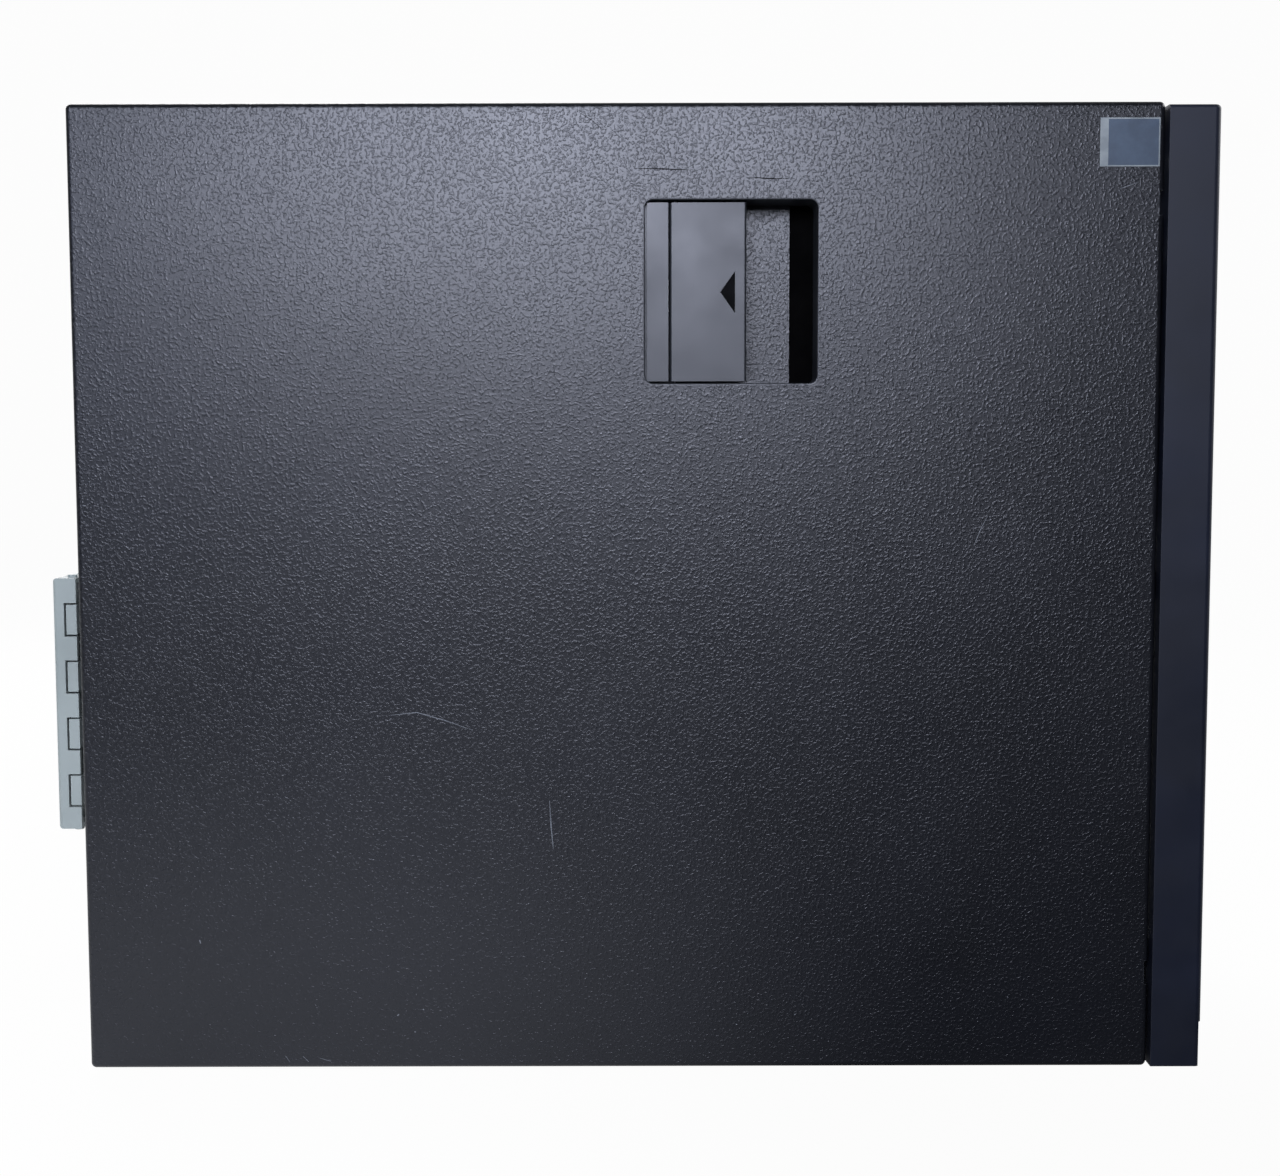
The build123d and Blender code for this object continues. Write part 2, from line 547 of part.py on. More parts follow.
def make_latch_bar():
    """Sliding steel bar, moved by the paddle's tail, whose hooks catch in the roof rail."""
    step_z = POCKET_Z[1] + POCKET_RIM + CLEAR
    upper_y = (Y_LEFT + BAR_STAND_OFF, Y_LEFT + BAR_STAND_OFF + BAR_THICKNESS)
    bar = block(TONGUE_X, BAR_Y, (POCKET_MIDDLE_Z - PADDLE_TAIL_WIDTH, step_z + BAR_THICKNESS))
    bar += block(TONGUE_X, (upper_y[0], BAR_Y[1]), (step_z, step_z + BAR_THICKNESS))
    bar += block(BAR_X, upper_y, (step_z, BAR_HOOK_Z + BAR_HOOK_HEIGHT))
    window = about(PADDLE_AXIS[0], PADDLE_TAIL_THICKNESS + 2 * TAIL_SLOP)
    window_y = (BAR_Y[0] - CUT_OVER, BAR_Y[1] + CUT_OVER)
    bar -= block(window, window_y, about(POCKET_MIDDLE_Z, PADDLE_TAIL_WIDTH + 1.0))
    nose_y = (Y_RAIL + SHEET + CLEAR, Y_LEFT + BAR_HOOK_DEEP)
    hook_z = about(BAR_HOOK_Z, BAR_HOOK_HEIGHT)
    for x in BAR_HOOK_X:
        bar += block(about(x, BAR_HOOK_WIDTH), (upper_y[0], nose_y[1]), hook_z)
        bar += block((x - BAR_HOOK_WIDTH / 2 - BAR_HOOK_NOSE, x), nose_y, hook_z)
    return bar


def make_latch_spring():
    """Leaf spring, bent to a V, that pushes the bar back."""
    near_y = BAR_Y[0] + SPRING_THICKNESS / 2
    bend_y = BAR_Y[1] + 4.5
    middle_x = (SPRING_X[0] + SPRING_X[1]) / 2
    ends = (SPRING_X[0] + SPRING_THICKNESS, SPRING_X[1] - SPRING_THICKNESS)
    line = Polyline((ends[0], near_y), (middle_x, bend_y), (ends[1], near_y + 1.0))
    leaf = offset(line, SPRING_THICKNESS / 2, side=Side.BOTH)
    return plate_z(make_face(leaf), about(POCKET_MIDDLE_Z, SPRING_HEIGHT))


# Expansion cards and their latch


def make_slot_covers():
    """Blank brackets over the card openings, with the tabs that the card latch holds down."""
    covers = []
    for z in SLOT_Z:
        wide = about(z, BRACKET_WIDTH)
        plate_x_span = (X_INNER, X_INNER + BRACKET_SHEET)
        cover = block(plate_x_span, (Y_BRACKET_TAB, Y_BRACKET_TAB + BRACKET_LENGTH), wide)
        tab_x = (X_REAR_WALL - BRACKET_TAB, plate_x_span[1])
        covers.append(cover + block(tab_x, (Y_BRACKET_TAB, Y_BRACKET_TAB + BRACKET_SHEET), wide))
    return several(covers)


def make_card_latch_bracket():
    """Frame on the rear wall: the shelf under the bracket tabs and two ears for the card latch."""
    shelf_y = (Y_BRACKET_TAB + BRACKET_SHEET, Y_BRACKET_TAB + BRACKET_SHEET + SHEET)
    slots_z = (SLOT_Z[0] - BRACKET_WIDTH / 2 - CLEAR, SLOT_Z[-1] + BRACKET_WIDTH / 2 + CLEAR)
    plate = (X_REAR_WALL - SHEET, X_REAR_WALL)
    frame_y = (CARD_LATCH_Y[0] + CLEAR, shelf_y[1])
    frame = block(plate, frame_y, CARD_LATCH_Z)
    frame -= block((plate[0] - CUT_OVER, plate[1] + CUT_OVER), (Y_BRACKET_TAB - 6.0, shelf_y[0]), slots_z)
    frame += block((X_REAR_WALL - BRACKET_TAB, plate[1]), shelf_y, slots_z)
    x, y = CARD_LATCH_AXIS
    boss = CARD_LATCH_PIN + 1.3
    for end_z, inward in ((CARD_LATCH_Z[0], 1), (CARD_LATCH_Z[1], -1)):
        near_z = end_z + inward * (CARD_LATCH_WALL + CLEAR)
        ear_z = sorted((near_z, near_z + inward * 1.6))
        ear = rod_z(x, y, ear_z, boss) + block((x - boss, x + boss), (y, y + 9.0), ear_z)
        ear += block((x, plate[1]), (y + 4.8, y + 9.0), ear_z)
        frame += ear - rod_z(x, y, (ear_z[0] - CUT_OVER, ear_z[1] + CUT_OVER), CARD_LATCH_PIN + RUN)
    return frame


def make_card_latch():
    """Hinged clamp over the bracket tabs: an open channel with four sprung fingers and two pivot pins."""
    back_x = X_REAR - CARD_LATCH_OVERHANG
    latch = block((back_x, CARD_LATCH_SIDE), CARD_LATCH_Y, CARD_LATCH_Z)
    edges = latch.edges().filter_by(Axis.Y).sort_by(Axis.X)[:2]
    edges += latch.edges().filter_by(Axis.Z).sort_by(Axis.X)[:2]
    latch = fillet(edges, 1.8)
    hollow_z = (CARD_LATCH_Z[0] + CARD_LATCH_WALL, CARD_LATCH_Z[1] - CARD_LATCH_WALL)
    hollow_x = (back_x + CARD_LATCH_WALL, CARD_LATCH_SIDE + CUT_OVER)
    latch -= block(hollow_x, (CARD_LATCH_Y[0] + CARD_LATCH_WALL, CARD_LATCH_Y[1] + CUT_OVER), hollow_z)
    finger_x = (CARD_LATCH_SIDE - 3.9, CARD_LATCH_SIDE)
    for i in range(SLOT_COUNT):
        z = SLOT_MIDDLE_Z + (i - (SLOT_COUNT - 1) / 2) * CARD_LATCH_PITCH
        window_x = (finger_x[0] - CARD_LATCH_GAP, CARD_LATCH_SIDE + CUT_OVER)
        window_y = (CARD_LATCH_Y[0] - CUT_OVER, CARD_LATCH_Y[0] + CARD_LATCH_WALL + CUT_OVER)
        latch -= block(window_x, window_y, about(z, CARD_LATCH_WINDOW))
        finger_y = (CARD_LATCH_Y[0] + CARD_LATCH_GAP / 2, CARD_LATCH_Y[1])
        latch += block(finger_x, finger_y, about(z, CARD_LATCH_WINDOW - 2 * CARD_LATCH_GAP))
        web_y = (CARD_LATCH_Y[0] + 8.0, CARD_LATCH_Y[1] - 2.0)
        latch += block((back_x + CARD_LATCH_WALL / 2, finger_x[0]), web_y, about(z, CARD_LATCH_WALL))
    x, y = CARD_LATCH_AXIS
    pin_in = CARD_LATCH_WALL + CLEAR + 2.0
    for end_z, inward in ((CARD_LATCH_Z[0], 1), (CARD_LATCH_Z[1], -1)):
        pin_z = sorted((end_z - inward, end_z + inward * pin_in))
        latch += rod_z(x, y, pin_z, CARD_LATCH_PIN)
    return latch


# Fans

FAN_RIM = 2.0
FAN_SHAFT = 1.5
FAN_PLATE = 3.0
BLADE_COUNT = 7
BLADE_PITCH = 38.0
BLADE_THICKNESS = 1.4


def fan_hub(size):
    """Radius of a fan's hub."""
    return size * 0.2


def fan_frame(size, hole_spacing):
    """Square fan frame along +Z: duct, corner holes, motor plate on four struts, and the shaft."""
    radius = size / 2 - FAN_RIM
    shape = RectangleRounded(size, size, 4.0) - Circle(radius)
    for a in (-1, 1):
        for b in (-1, 1):
            shape -= Pos(a * hole_spacing / 2, b * hole_spacing / 2) * Circle(SCREW_HOLE)
    frame = extrude(shape, FAN_DEPTH)
    frame += extrude(Circle(fan_hub(size)), FAN_PLATE)
    for angle in (20.0, 110.0, 200.0, 290.0):
        reach = (fan_hub(size) - 1.0, radius + FAN_RIM / 2)
        strut = Pos((reach[0] + reach[1]) / 2, 0, FAN_PLATE / 2) * Box(reach[1] - reach[0], 4.0, FAN_PLATE)
        frame += Rot(0, 0, angle) * strut
    return frame + Pos(0, 0, FAN_DEPTH / 2 - 2.0) * Cylinder(FAN_SHAFT, FAN_DEPTH - 4.0)


def fan_rotor(size):
    """Fan wheel along +Z: hub cup and pitched blades."""
    hub, tip = fan_hub(size), size / 2 - FAN_RIM - 1.0
    low, high = FAN_PLATE + CLEAR * 2, FAN_DEPTH - 1.5
    wheel = Pos(0, 0, (low + high) / 2) * Cylinder(hub, high - low)
    wheel = fillet(wheel.edges().sort_by(Axis.Z)[-1:], 2.0)
    chord = (high - low - 3.0) / math.sin(math.radians(BLADE_PITCH))
    for i in range(BLADE_COUNT):
        blade = Box(tip, chord, BLADE_THICKNESS)
        blade = Pos(tip / 2, 0, (low + high) / 2) * Rot(BLADE_PITCH, 0, 0) * blade
        wheel += Rot(0, 0, 360.0 * i / BLADE_COUNT) * blade
    span = Pos(0, 0, FAN_DEPTH / 2) * Cylinder(tip, FAN_DEPTH * 2)
    wheel = wheel & span
    return wheel - Pos(0, 0, FAN_DEPTH / 2) * Cylinder(FAN_SHAFT + RUN, FAN_DEPTH - 5.0 + CUT_OVER)


def facing_x(x, place):
    """Frame whose +Z points along +X from the given X, at a (Y, Z) place."""
    return Plane(origin=(x, place[0], place[1]), x_dir=(0, 1, 0), z_dir=(1, 0, 0)).location


def facing_y(place, y, toward=-1):
    """Frame whose +Z points along Y from the given Y, at an (X, Z) place."""
    return Plane(origin=(place[0], y, place[1]), x_dir=(1, 0, 0), z_dir=(0, toward, 0)).location


# Power supply

PSU_SHEET = 1.0
PSU_FAN_HOLE = 35.0
INLET_Y = about(PSU_Y[1] - 30.0, 27.5)
INLET_Z = about(PSU_Z[0] + 28.0, 20.0)
TEST_Y = about(PSU_Y[1] - 30.0, 7.0)
TEST_Z = about(PSU_Z[0] + 58.0, 7.0)
TEST_TRAVEL = 1.0
LOOM_EXIT = (PSU_Y[0] + 30.0, PSU_Z[1] - 20.0)
LOOM_RADIUS = 5.0


def make_psu_case():
    """Steel box of the power supply, with fan hole, inlet, test button hole and front air slots."""
    rear_x = (PSU_X[0] - CUT_OVER, PSU_X[0] + PSU_SHEET + CUT_OVER)
    front_x = (PSU_X[1] - PSU_SHEET - CUT_OVER, PSU_X[1] + CUT_OVER)
    case = block(PSU_X, PSU_Y, PSU_Z)
    case -= block(
        (PSU_X[0] + PSU_SHEET, PSU_X[1] - PSU_SHEET),
        (PSU_Y[0] + PSU_SHEET, PSU_Y[1] - PSU_SHEET),
        (PSU_Z[0] + PSU_SHEET, PSU_Z[1] - PSU_SHEET),
    )
    case -= rod_x(rear_x, PSU_FAN_MIDDLE[0], PSU_FAN_MIDDLE[1], PSU_FAN_HOLE)
    case -= block(rear_x, INLET_Y, INLET_Z)
    case -= block(rear_x, about(sum(TEST_Y) / 2, 8.0), about(sum(TEST_Z) / 2, 8.0))
    for y, z in PSU_SCREWS:
        case -= rod_x(rear_x, y, z, SCREW_HOLE)
    for z in spread(PSU_Z[0] + 14.0, PSU_Z[1] - 14.0, 8):
        case -= block(front_x, (PSU_Y[0] + 52.0, PSU_Y[1] - 16.0), about(z, 3.0))
    return case - rod_x(front_x, LOOM_EXIT[0], LOOM_EXIT[1], LOOM_RADIUS + 1.0)


def make_psu_guard():
    """Wire guard over the power supply's fan."""
    shape = None
    for radius in spread(10.0, PSU_FAN_HOLE + 1.0, 4):
        ring = Circle(radius + 0.8) - Circle(radius - 0.8)
        shape = ring if shape is None else shape + ring
    for angle in (45.0, 135.0):
        shape += Rot(0, 0, angle) * Rectangle(2 * PSU_FAN_HOLE + 2.0, 1.6)
    return facing_x(PSU_X[0] - 1.6, PSU_FAN_MIDDLE) * extrude(shape, 1.6)


def make_psu_fan_frame():
    """Frame of the power supply's fan."""
    return facing_x(PSU_X[0] + PSU_SHEET, PSU_FAN_MIDDLE) * fan_frame(PSU_FAN_SIZE, PSU_FAN_SIZE - 8.5)


def make_psu_fan_rotor():
    """Wheel of the power supply's fan."""
    return facing_x(PSU_X[0] + PSU_SHEET, PSU_FAN_MIDDLE) * fan_rotor(PSU_FAN_SIZE)


def make_power_inlet():
    """Three-pin mains inlet with a flange outside."""
    flange_x = (PSU_X[0] - 2.0, PSU_X[0])
    grow = 2.0
    inlet = block(flange_x, (INLET_Y[0] - grow, INLET_Y[1] + grow), (INLET_Z[0] - grow, INLET_Z[1] + grow))
    inlet = fillet(inlet.edges().filter_by(Axis.X), grow)
    inlet += block((PSU_X[0], PSU_X[0] + 20.0), INLET_Y, INLET_Z)
    mouth_y, mouth_z = about(sum(INLET_Y) / 2, 24.0), about(sum(INLET_Z) / 2, 16.4)
    mouth = block((flange_x[0] - CUT_OVER, PSU_X[0] + 15.0), mouth_y, mouth_z)
    mouth = chamfer(mouth.edges().filter_by(Axis.X).sort_by(Axis.Z)[-2:], 5.0)
    inlet -= mouth
    for y, z in ((-7.0, -2.0), (0.0, 2.0), (7.0, -2.0)):
        pin_x = (PSU_X[0] + 1.0, PSU_X[0] + 16.0)
        inlet += block(pin_x, about(sum(INLET_Y) / 2 + y, 2.0), about(sum(INLET_Z) / 2 + z, 4.0))
    return inlet


def make_psu_test_button():
    """Small self-test button beside the inlet."""
    button = block((PSU_X[0] - 1.8, PSU_X[0] + 6.0), TEST_Y, TEST_Z)
    stop_x = (PSU_X[0] + PSU_SHEET + RUN, PSU_X[0] + PSU_SHEET + 2.0)
    return button + block(stop_x, about(sum(TEST_Y) / 2, 10.0), about(sum(TEST_Z) / 2, 10.0))


# Rear fan


def make_system_fan_frame():
    """Frame of the rear fan, on the inside of the rear wall."""
    return facing_x(X_INNER, FAN_MIDDLE) * fan_frame(FAN_SIZE, FAN_HOLE_SPACING)


def make_system_fan_rotor():
    """Wheel of the rear fan."""
    return facing_x(X_INNER, FAN_MIDDLE) * fan_rotor(FAN_SIZE)


# Circuit board and what stands on it

CPU = (BOARD_X[0] + 120.0, BOARD_Z[1] - 80.0)
SOCKET_SIZE = 40.0
SOCKET_HEIGHT = 4.5
SINK_SIZE = 90.0
SINK_BASE = 6.0
SINK_FIN = 34.0
SINK_FIN_COUNT = 16
SINK_FIN_SHEET = 1.4
SINK_FIN_SPAN = 72.0
SINK_SCREW = 40.5
Y_SINK = Y_BOARD - SOCKET_HEIGHT
Y_FIN = Y_SINK - SINK_BASE
Y_COOLER_FAN = Y_FIN - SINK_FIN
DIMM_X = spread(BOARD_X[1] - 52.0, BOARD_X[1] - 24.0, 4)
DIMM_Z = (BOARD_Z[1] - 150.0, BOARD_Z[1] - 10.0)
DIMM_SOCKET_HEIGHT = 8.0
MODULE_THICKNESS = 1.3
MODULE_HEIGHT = 30.0
MODULE_LENGTH = 133.3
CHIPSET = (BOARD_X[0] + 186.0, BOARD_Z[0] + 62.0)
COIN = (BOARD_X[0] + 148.0, BOARD_Z[0] + 84.0)
POWER_PLUG = (BOARD_X[1] - 7.0, BOARD_Z[0] + 72.0)
SATA_PLUGS = [(BOARD_X[1] - 10.0, BOARD_Z[0] + z) for z in (22.0, 34.0)]
FRONT_PLUG = (BOARD_X[1] - 30.0, BOARD_Z[0] + 8.0)
POWER_PLUG_SIZE = (10.0, 52.0)
POWER_PLUG_HEIGHT = 13.0
SATA_PLUG_SIZE = (15.0, 7.0)
FRONT_PLUG_SIZE = (25.0, 5.0)
PLUG_HEIGHT = 9.0
PORT_DEPTH = BOARD_X[0] + 14.0
PORT_PROUD = 0.6


def on_board(place, size, height, base=0.0):
    """Box standing on the board: middle (X, Z), size (X, Z), height off the board."""
    y = (Y_BOARD - base - height, Y_BOARD - base)
    return block(about(place[0], size[0]), y, about(place[1], size[1]))


def make_motherboard():
    """Circuit board with its screw holes."""
    board = block(BOARD_X, (Y_BOARD, Y_BOARD + BOARD_THICKNESS), BOARD_Z)
    for x, z in board_screw_places():
        board -= rod_y(x, (Y_BOARD - CUT_OVER, Y_BOARD + BOARD_THICKNESS + CUT_OVER), z, SCREW_HOLE)
    return board


def screw_x(face_x, y, z, length):
    """Screw along +X whose head stands outside the given face."""
    head = rod_x((face_x - SCREW_HEAD_HEIGHT, face_x), y, z, SCREW_HEAD)
    return head + rod_x((face_x, face_x + length), y, z, SCREW_RADIUS)


def screw_y(x, face_y, z, length, inward=1):
    """Screw along Y into a face; inward is the direction it is driven in."""
    head = rod_y(x, sorted((face_y, face_y - inward * SCREW_HEAD_HEIGHT)), z, SCREW_HEAD)
    return head + rod_y(x, sorted((face_y, face_y + inward * length)), z, SCREW_RADIUS)


def make_screws():
    """Screws of the power supply, rear fan, board, cooler and optical drive."""
    screws = [screw_x(X_REAR_WALL, y, z, SHEET + SCREW_REACH) for y, z in PSU_SCREWS + fan_screw_places()]
    screws += [screw_y(x, Y_BOARD, z, BOARD_THICKNESS + STANDOFF - SHEET) for x, z in board_screw_places()]
    screws += [screw_y(x, Y_FIN, z, Y_BOARD - Y_FIN) for x, z in cooler_screw_places()]
    for x, z in DRIVE_SCREWS:
        screws.append(screw_y(x, DRIVE_Y[0] - CAGE_SHEET, z, SCREW_REACH - SHEET))
        screws.append(screw_y(x, DRIVE_Y[1] + CAGE_SHEET, z, SCREW_REACH - SHEET, -1))
    return several(screws)


def make_cpu_socket():
    """Processor in its socket."""
    return on_board(CPU, (SOCKET_SIZE, SOCKET_SIZE), SOCKET_HEIGHT)


def make_heatsink():
    """Aluminium cooler: base plate and upright fins."""
    sink = on_board(CPU, (SINK_SIZE, SINK_SIZE), SINK_BASE, SOCKET_HEIGHT)
    for x in spread(CPU[0] - SINK_FIN_SPAN / 2, CPU[0] + SINK_FIN_SPAN / 2, SINK_FIN_COUNT):
        sink += block(about(x, SINK_FIN_SHEET), (Y_COOLER_FAN, Y_FIN), about(CPU[1], SINK_SIZE))
    for x, z in cooler_screw_places():
        sink -= rod_y(x, (Y_FIN - CUT_OVER, Y_SINK + CUT_OVER), z, SCREW_HOLE)
    return sink


def cooler_screw_places():
    """X and Z places of the cooler's four screws."""
    return [(CPU[0] + a * SINK_SCREW, CPU[1] + b * SINK_SCREW) for a in (-1, 1) for b in (-1, 1)]


def make_cooler_fan_frame():
    """Frame of the fan on the cooler."""
    return facing_y(CPU, Y_COOLER_FAN) * fan_frame(FAN_SIZE, FAN_HOLE_SPACING)


def make_cooler_fan_rotor():
    """Wheel of the fan on the cooler."""
    return facing_y(CPU, Y_COOLER_FAN) * fan_rotor(FAN_SIZE)


def make_board_sockets():
    """Memory and card sockets, each with its groove, and the upright plugs at the front edge."""
    sockets = []
    memory_z = (DIMM_Z[0] + DIMM_Z[1]) / 2
    for x in DIMM_X:
        socket = on_board((x, memory_z), (6.5, DIMM_Z[1] - DIMM_Z[0]), DIMM_SOCKET_HEIGHT)
        groove = on_board((x, memory_z), (MODULE_THICKNESS + 2 * RUN, MODULE_LENGTH + 2 * RUN), 6.0, 4.0)
        sockets.append(socket - groove)
    for i, z in enumerate(SLOT_Z):
        length = 25.0 if i == 1 else 89.0
        place = (BOARD_X[0] + 40.0 + length / 2, z)
        socket = on_board(place, (length, 7.5), 11.0)
        sockets.append(socket - on_board(place, (length - 5.0, 1.8), 9.0, 3.5))
    sockets.append(on_board(POWER_PLUG, POWER_PLUG_SIZE, POWER_PLUG_HEIGHT))
    for place in SATA_PLUGS:
        sockets.append(on_board(place, SATA_PLUG_SIZE, PLUG_HEIGHT))
    sockets.append(on_board(FRONT_PLUG, FRONT_PLUG_SIZE, PLUG_HEIGHT))
    return several(sockets)


def make_memory_modules():
    """Two memory modules in the sockets nearest the processor."""
    memory_z = (DIMM_Z[0] + DIMM_Z[1]) / 2
    size = (MODULE_THICKNESS, MODULE_LENGTH)
    return several([on_board((x, memory_z), size, MODULE_HEIGHT, 4.0) for x in DIMM_X[:2]])


def make_chipset_heatsink():
    """Small finned heatsink."""
    sink = on_board(CHIPSET, (36.0, 36.0), 4.0)
    for x in spread(CHIPSET[0] - 16.0, CHIPSET[0] + 16.0, 8):
        sink += on_board((x, CHIPSET[1]), (1.6, 36.0), 14.0, 3.0)
    return sink


def make_coin_cell():
    """Coin cell in its round holder."""
    holder = rod_y(COIN[0], (Y_BOARD - 4.0, Y_BOARD), COIN[1], 11.5)
    return holder + rod_y(COIN[0], (Y_BOARD - 5.5, Y_BOARD), COIN[1], 10.0)


def make_power_components():
    """Round capacitors and square coils of the processor's supply."""
    pieces = []
    for z in spread(CPU[1] - 42.0, CPU[1] + 42.0, 7):
        pieces.append(rod_y(CPU[0] - 56.0, (Y_BOARD - 11.0, Y_BOARD), z, 4.0))
    for z in spread(CPU[1] - 36.0, CPU[1] + 36.0, 5):
        pieces.append(on_board((CPU[0] - 70.0, z), (11.0, 11.0), 8.0))
    return several(pieces)


def port_rows():
    """Rear connectors from the top down: middle Z, width along Z, height off the board, kind."""
    rows = []
    z = SHIELD_Z[1] - 9.0
    for width, height, kind in (
        (14.0, 32.0, "round"),
        (32.0, 13.0, "wide"),
        (32.0, 13.0, "wide"),
        (15.0, 17.0, "pair"),
        (15.0, 17.0, "pair"),
        (17.0, 31.0, "jack"),
    ):
        rows.append((z - width / 2 + 4.0, width, height, kind))
        z -= width + 2.6
    return rows


def port_box(z, width, height):
    """Body of a rear connector, reaching out through the shield."""
    return block((X_REAR_WALL - PORT_PROUD, PORT_DEPTH), (Y_BOARD - height, Y_BOARD), about(z, width))


def audio_places():
    """Y and Z places of the round audio sockets."""
    low = SHIELD_Z[0] + 9.0
    return [(Y_BOARD - 6.5 - a * 13.0, low) for a in range(3)]


def make_io_shield():
    """Thin plate in the rear wall round the board's connectors."""
    inset = 0.2
    body_y = (SHIELD_Y[0] + inset, SHIELD_Y[1] - inset)
    body_z = (SHIELD_Z[0] + inset, SHIELD_Z[1] - inset)
    shield = block((X_REAR_WALL + inset, X_INNER + SHEET), body_y, body_z)
    rim_y = (SHIELD_Y[0] - 2.0, SHIELD_Y[1] + 2.0)
    shield += block((X_INNER, X_INNER + SHEET), rim_y, (SHIELD_Z[0] - 2.0, SHIELD_Z[1] + 2.0))
    wall = 0.8
    shield -= block(
        (X_REAR_WALL + inset + wall, X_INNER + SHEET + CUT_OVER),
        (body_y[0] + wall, body_y[1] - wall),
        (body_z[0] + wall, body_z[1] - wall),
    )
    cut_x = (X_REAR_WALL - CUT_OVER, X_INNER + SHEET + CUT_OVER)
    for z, width, height, kind in port_rows():
        shield -= block(cut_x, (Y_BOARD - height - CLEAR, Y_BOARD + CLEAR), about(z, width + 2 * CLEAR))
    for y, z in audio_places():
        shield -= rod_x(cut_x, y, z, 4.0 + CLEAR)
    return shield


def make_io_metal_ports():
    """Shelled rear connectors: stacked bus sockets and the network jack above them."""
    ports = []
    for z, width, height, kind in port_rows():
        if kind not in ("pair", "jack"):
            continue
        port = port_box(z, width, height)
        mouth_x = (X_REAR_WALL - PORT_PROUD - CUT_OVER, X_REAR_WALL + 8.0)
        for y in (Y_BOARD - 4.6, Y_BOARD - 12.4):
            port -= block(mouth_x, about(y, 5.0), about(z, 12.4))
            port += block((X_REAR_WALL, X_REAR_WALL + 9.0), about(y - 1.0, 1.8), about(z, 11.0))
        if kind == "jack":
            port -= block(mouth_x, about(Y_BOARD - 24.0, 7.0), about(z, 11.8))
            port -= block(mouth_x, about(Y_BOARD - 19.4, 3.0), about(z, 5.0))
        ports.append(port)
    return several(ports)


def make_io_plastic_ports():
    """Moulded rear connectors: two round ones, two wide ones and the audio sockets."""
    ports = []
    mouth = (X_REAR_WALL - PORT_PROUD - CUT_OVER, X_REAR_WALL + 7.0)
    for z, width, height, kind in port_rows():
        if kind == "round":
            port = port_box(z, width, height)
            for y in (Y_BOARD - 8.5, Y_BOARD - 23.5):
                port -= rod_x(mouth, y, z, 4.6) - rod_x(mouth, y, z, 3.4)
            ports.append(port)
        if kind == "wide":
            port = port_box(z, width, height)
            ring = block(mouth, about(Y_BOARD - 6.5, 9.0), about(z, 18.0))
            port -= ring - block(mouth, about(Y_BOARD - 6.5, 6.4), about(z, 15.4))
            ports.append(port)
    low = audio_places()[0][1]
    body = block((X_INNER + SHEET + CLEAR, PORT_DEPTH), (Y_BOARD - 39.0, Y_BOARD), about(low, 12.0))
    for y, z in audio_places():
        body += rod_x((X_REAR_WALL - PORT_PROUD, X_INNER + SHEET + CLEAR), y, z, 4.0)
    for y, z in audio_places():
        body -= rod_x((X_REAR_WALL - PORT_PROUD - CUT_OVER, PORT_DEPTH - 4.0), y, z, 1.8)
    ports.append(body)
    return several(ports)


# Optical drive in the upper bay

DRIVE_FRONT = 6.0
DRIVE_SHEET = 1.0
TRAY_LENGTH = 146.0
TRAY_WIDTH = 130.0
TRAY_THICKNESS = 6.0
TRAY_Z = (DRIVE_Z[0] + 20.0, DRIVE_Z[0] + 20.0 + TRAY_THICKNESS)
DOOR_WIDTH = 134.0
DOOR_HEIGHT = 15.0
DOOR_Z = about((TRAY_Z[0] + TRAY_Z[1]) / 2, DOOR_HEIGHT)
X_DRIVE_FRONT = X_DRIVE_FACE - DRIVE_FRONT
EJECT_Y = about(DRIVE_Y[0] + 20.0, 11.0)
EJECT_Z = about(DRIVE_Z[0] + 7.0, 4.5)
EJECT_TRAVEL = 1.0
DRIVE_SCREWS = [(x, z) for x in (X_DRIVE_FRONT - 52.0, X_DRIVE_FRONT - 132.0) for z in (DRIVE_Z[0] + 10.0,)]


def make_optical_drive_case():
    """Steel case of the drive, open to its front, with ledges that guide the tray."""
    case_x = (DRIVE_X[0], X_DRIVE_FRONT)
    inner_y = (DRIVE_Y[0] + DRIVE_SHEET, DRIVE_Y[1] - DRIVE_SHEET)
    case = block(case_x, DRIVE_Y, DRIVE_Z)
    hollow_x = (case_x[0] + DRIVE_SHEET, case_x[1] + CUT_OVER)
    case -= block(hollow_x, inner_y, (DRIVE_Z[0] + DRIVE_SHEET, DRIVE_Z[1] - DRIVE_SHEET))
    ledge_x = (case_x[0], case_x[1] - DRIVE_SHEET)
    for ledge_z in ((TRAY_Z[0] - RUN - 3.0, TRAY_Z[0] - RUN), (TRAY_Z[1] + RUN, TRAY_Z[1] + RUN + 3.0)):
        case += block(ledge_x, (inner_y[0] - DRIVE_SHEET, inner_y[0] + 12.0), ledge_z)
        case += block(ledge_x, (inner_y[1] - 12.0, inner_y[1] + DRIVE_SHEET), ledge_z)
    for x, z in DRIVE_SCREWS:
        case -= rod_y(x, (DRIVE_Y[0] - CUT_OVER, DRIVE_Y[0] + DRIVE_SHEET + CUT_OVER), z, SCREW_HOLE)
        case -= rod_y(x, (DRIVE_Y[1] - DRIVE_SHEET - CUT_OVER, DRIVE_Y[1] + CUT_OVER), z, SCREW_HOLE)
    return case


def make_optical_drive_front():
    """Moulded front of the drive, with openings for the tray door and the eject button."""
    front_x = (X_DRIVE_FRONT, X_DRIVE_FACE)
    front = block(front_x, (DRIVE_Y[0] - 0.8, DRIVE_Y[1] + 0.8), (DRIVE_Z[0] - CLEAR, DRIVE_Z[1] + CLEAR))
    front = fillet(front.faces().sort_by(Axis.X)[-1].edges(), 0.8)
    cut_x = (front_x[0] - CUT_OVER, front_x[1] + CUT_OVER)
    door_y = about(DRIVE_SHIFT, DOOR_WIDTH + 2 * SEAM)
    front -= block(cut_x, door_y, (DOOR_Z[0] - SEAM, DOOR_Z[1] + SEAM))
    button_y = (EJECT_Y[0] - CLEAR, EJECT_Y[1] + CLEAR)
    return front - block(cut_x, button_y, (EJECT_Z[0] - CLEAR, EJECT_Z[1] + CLEAR))


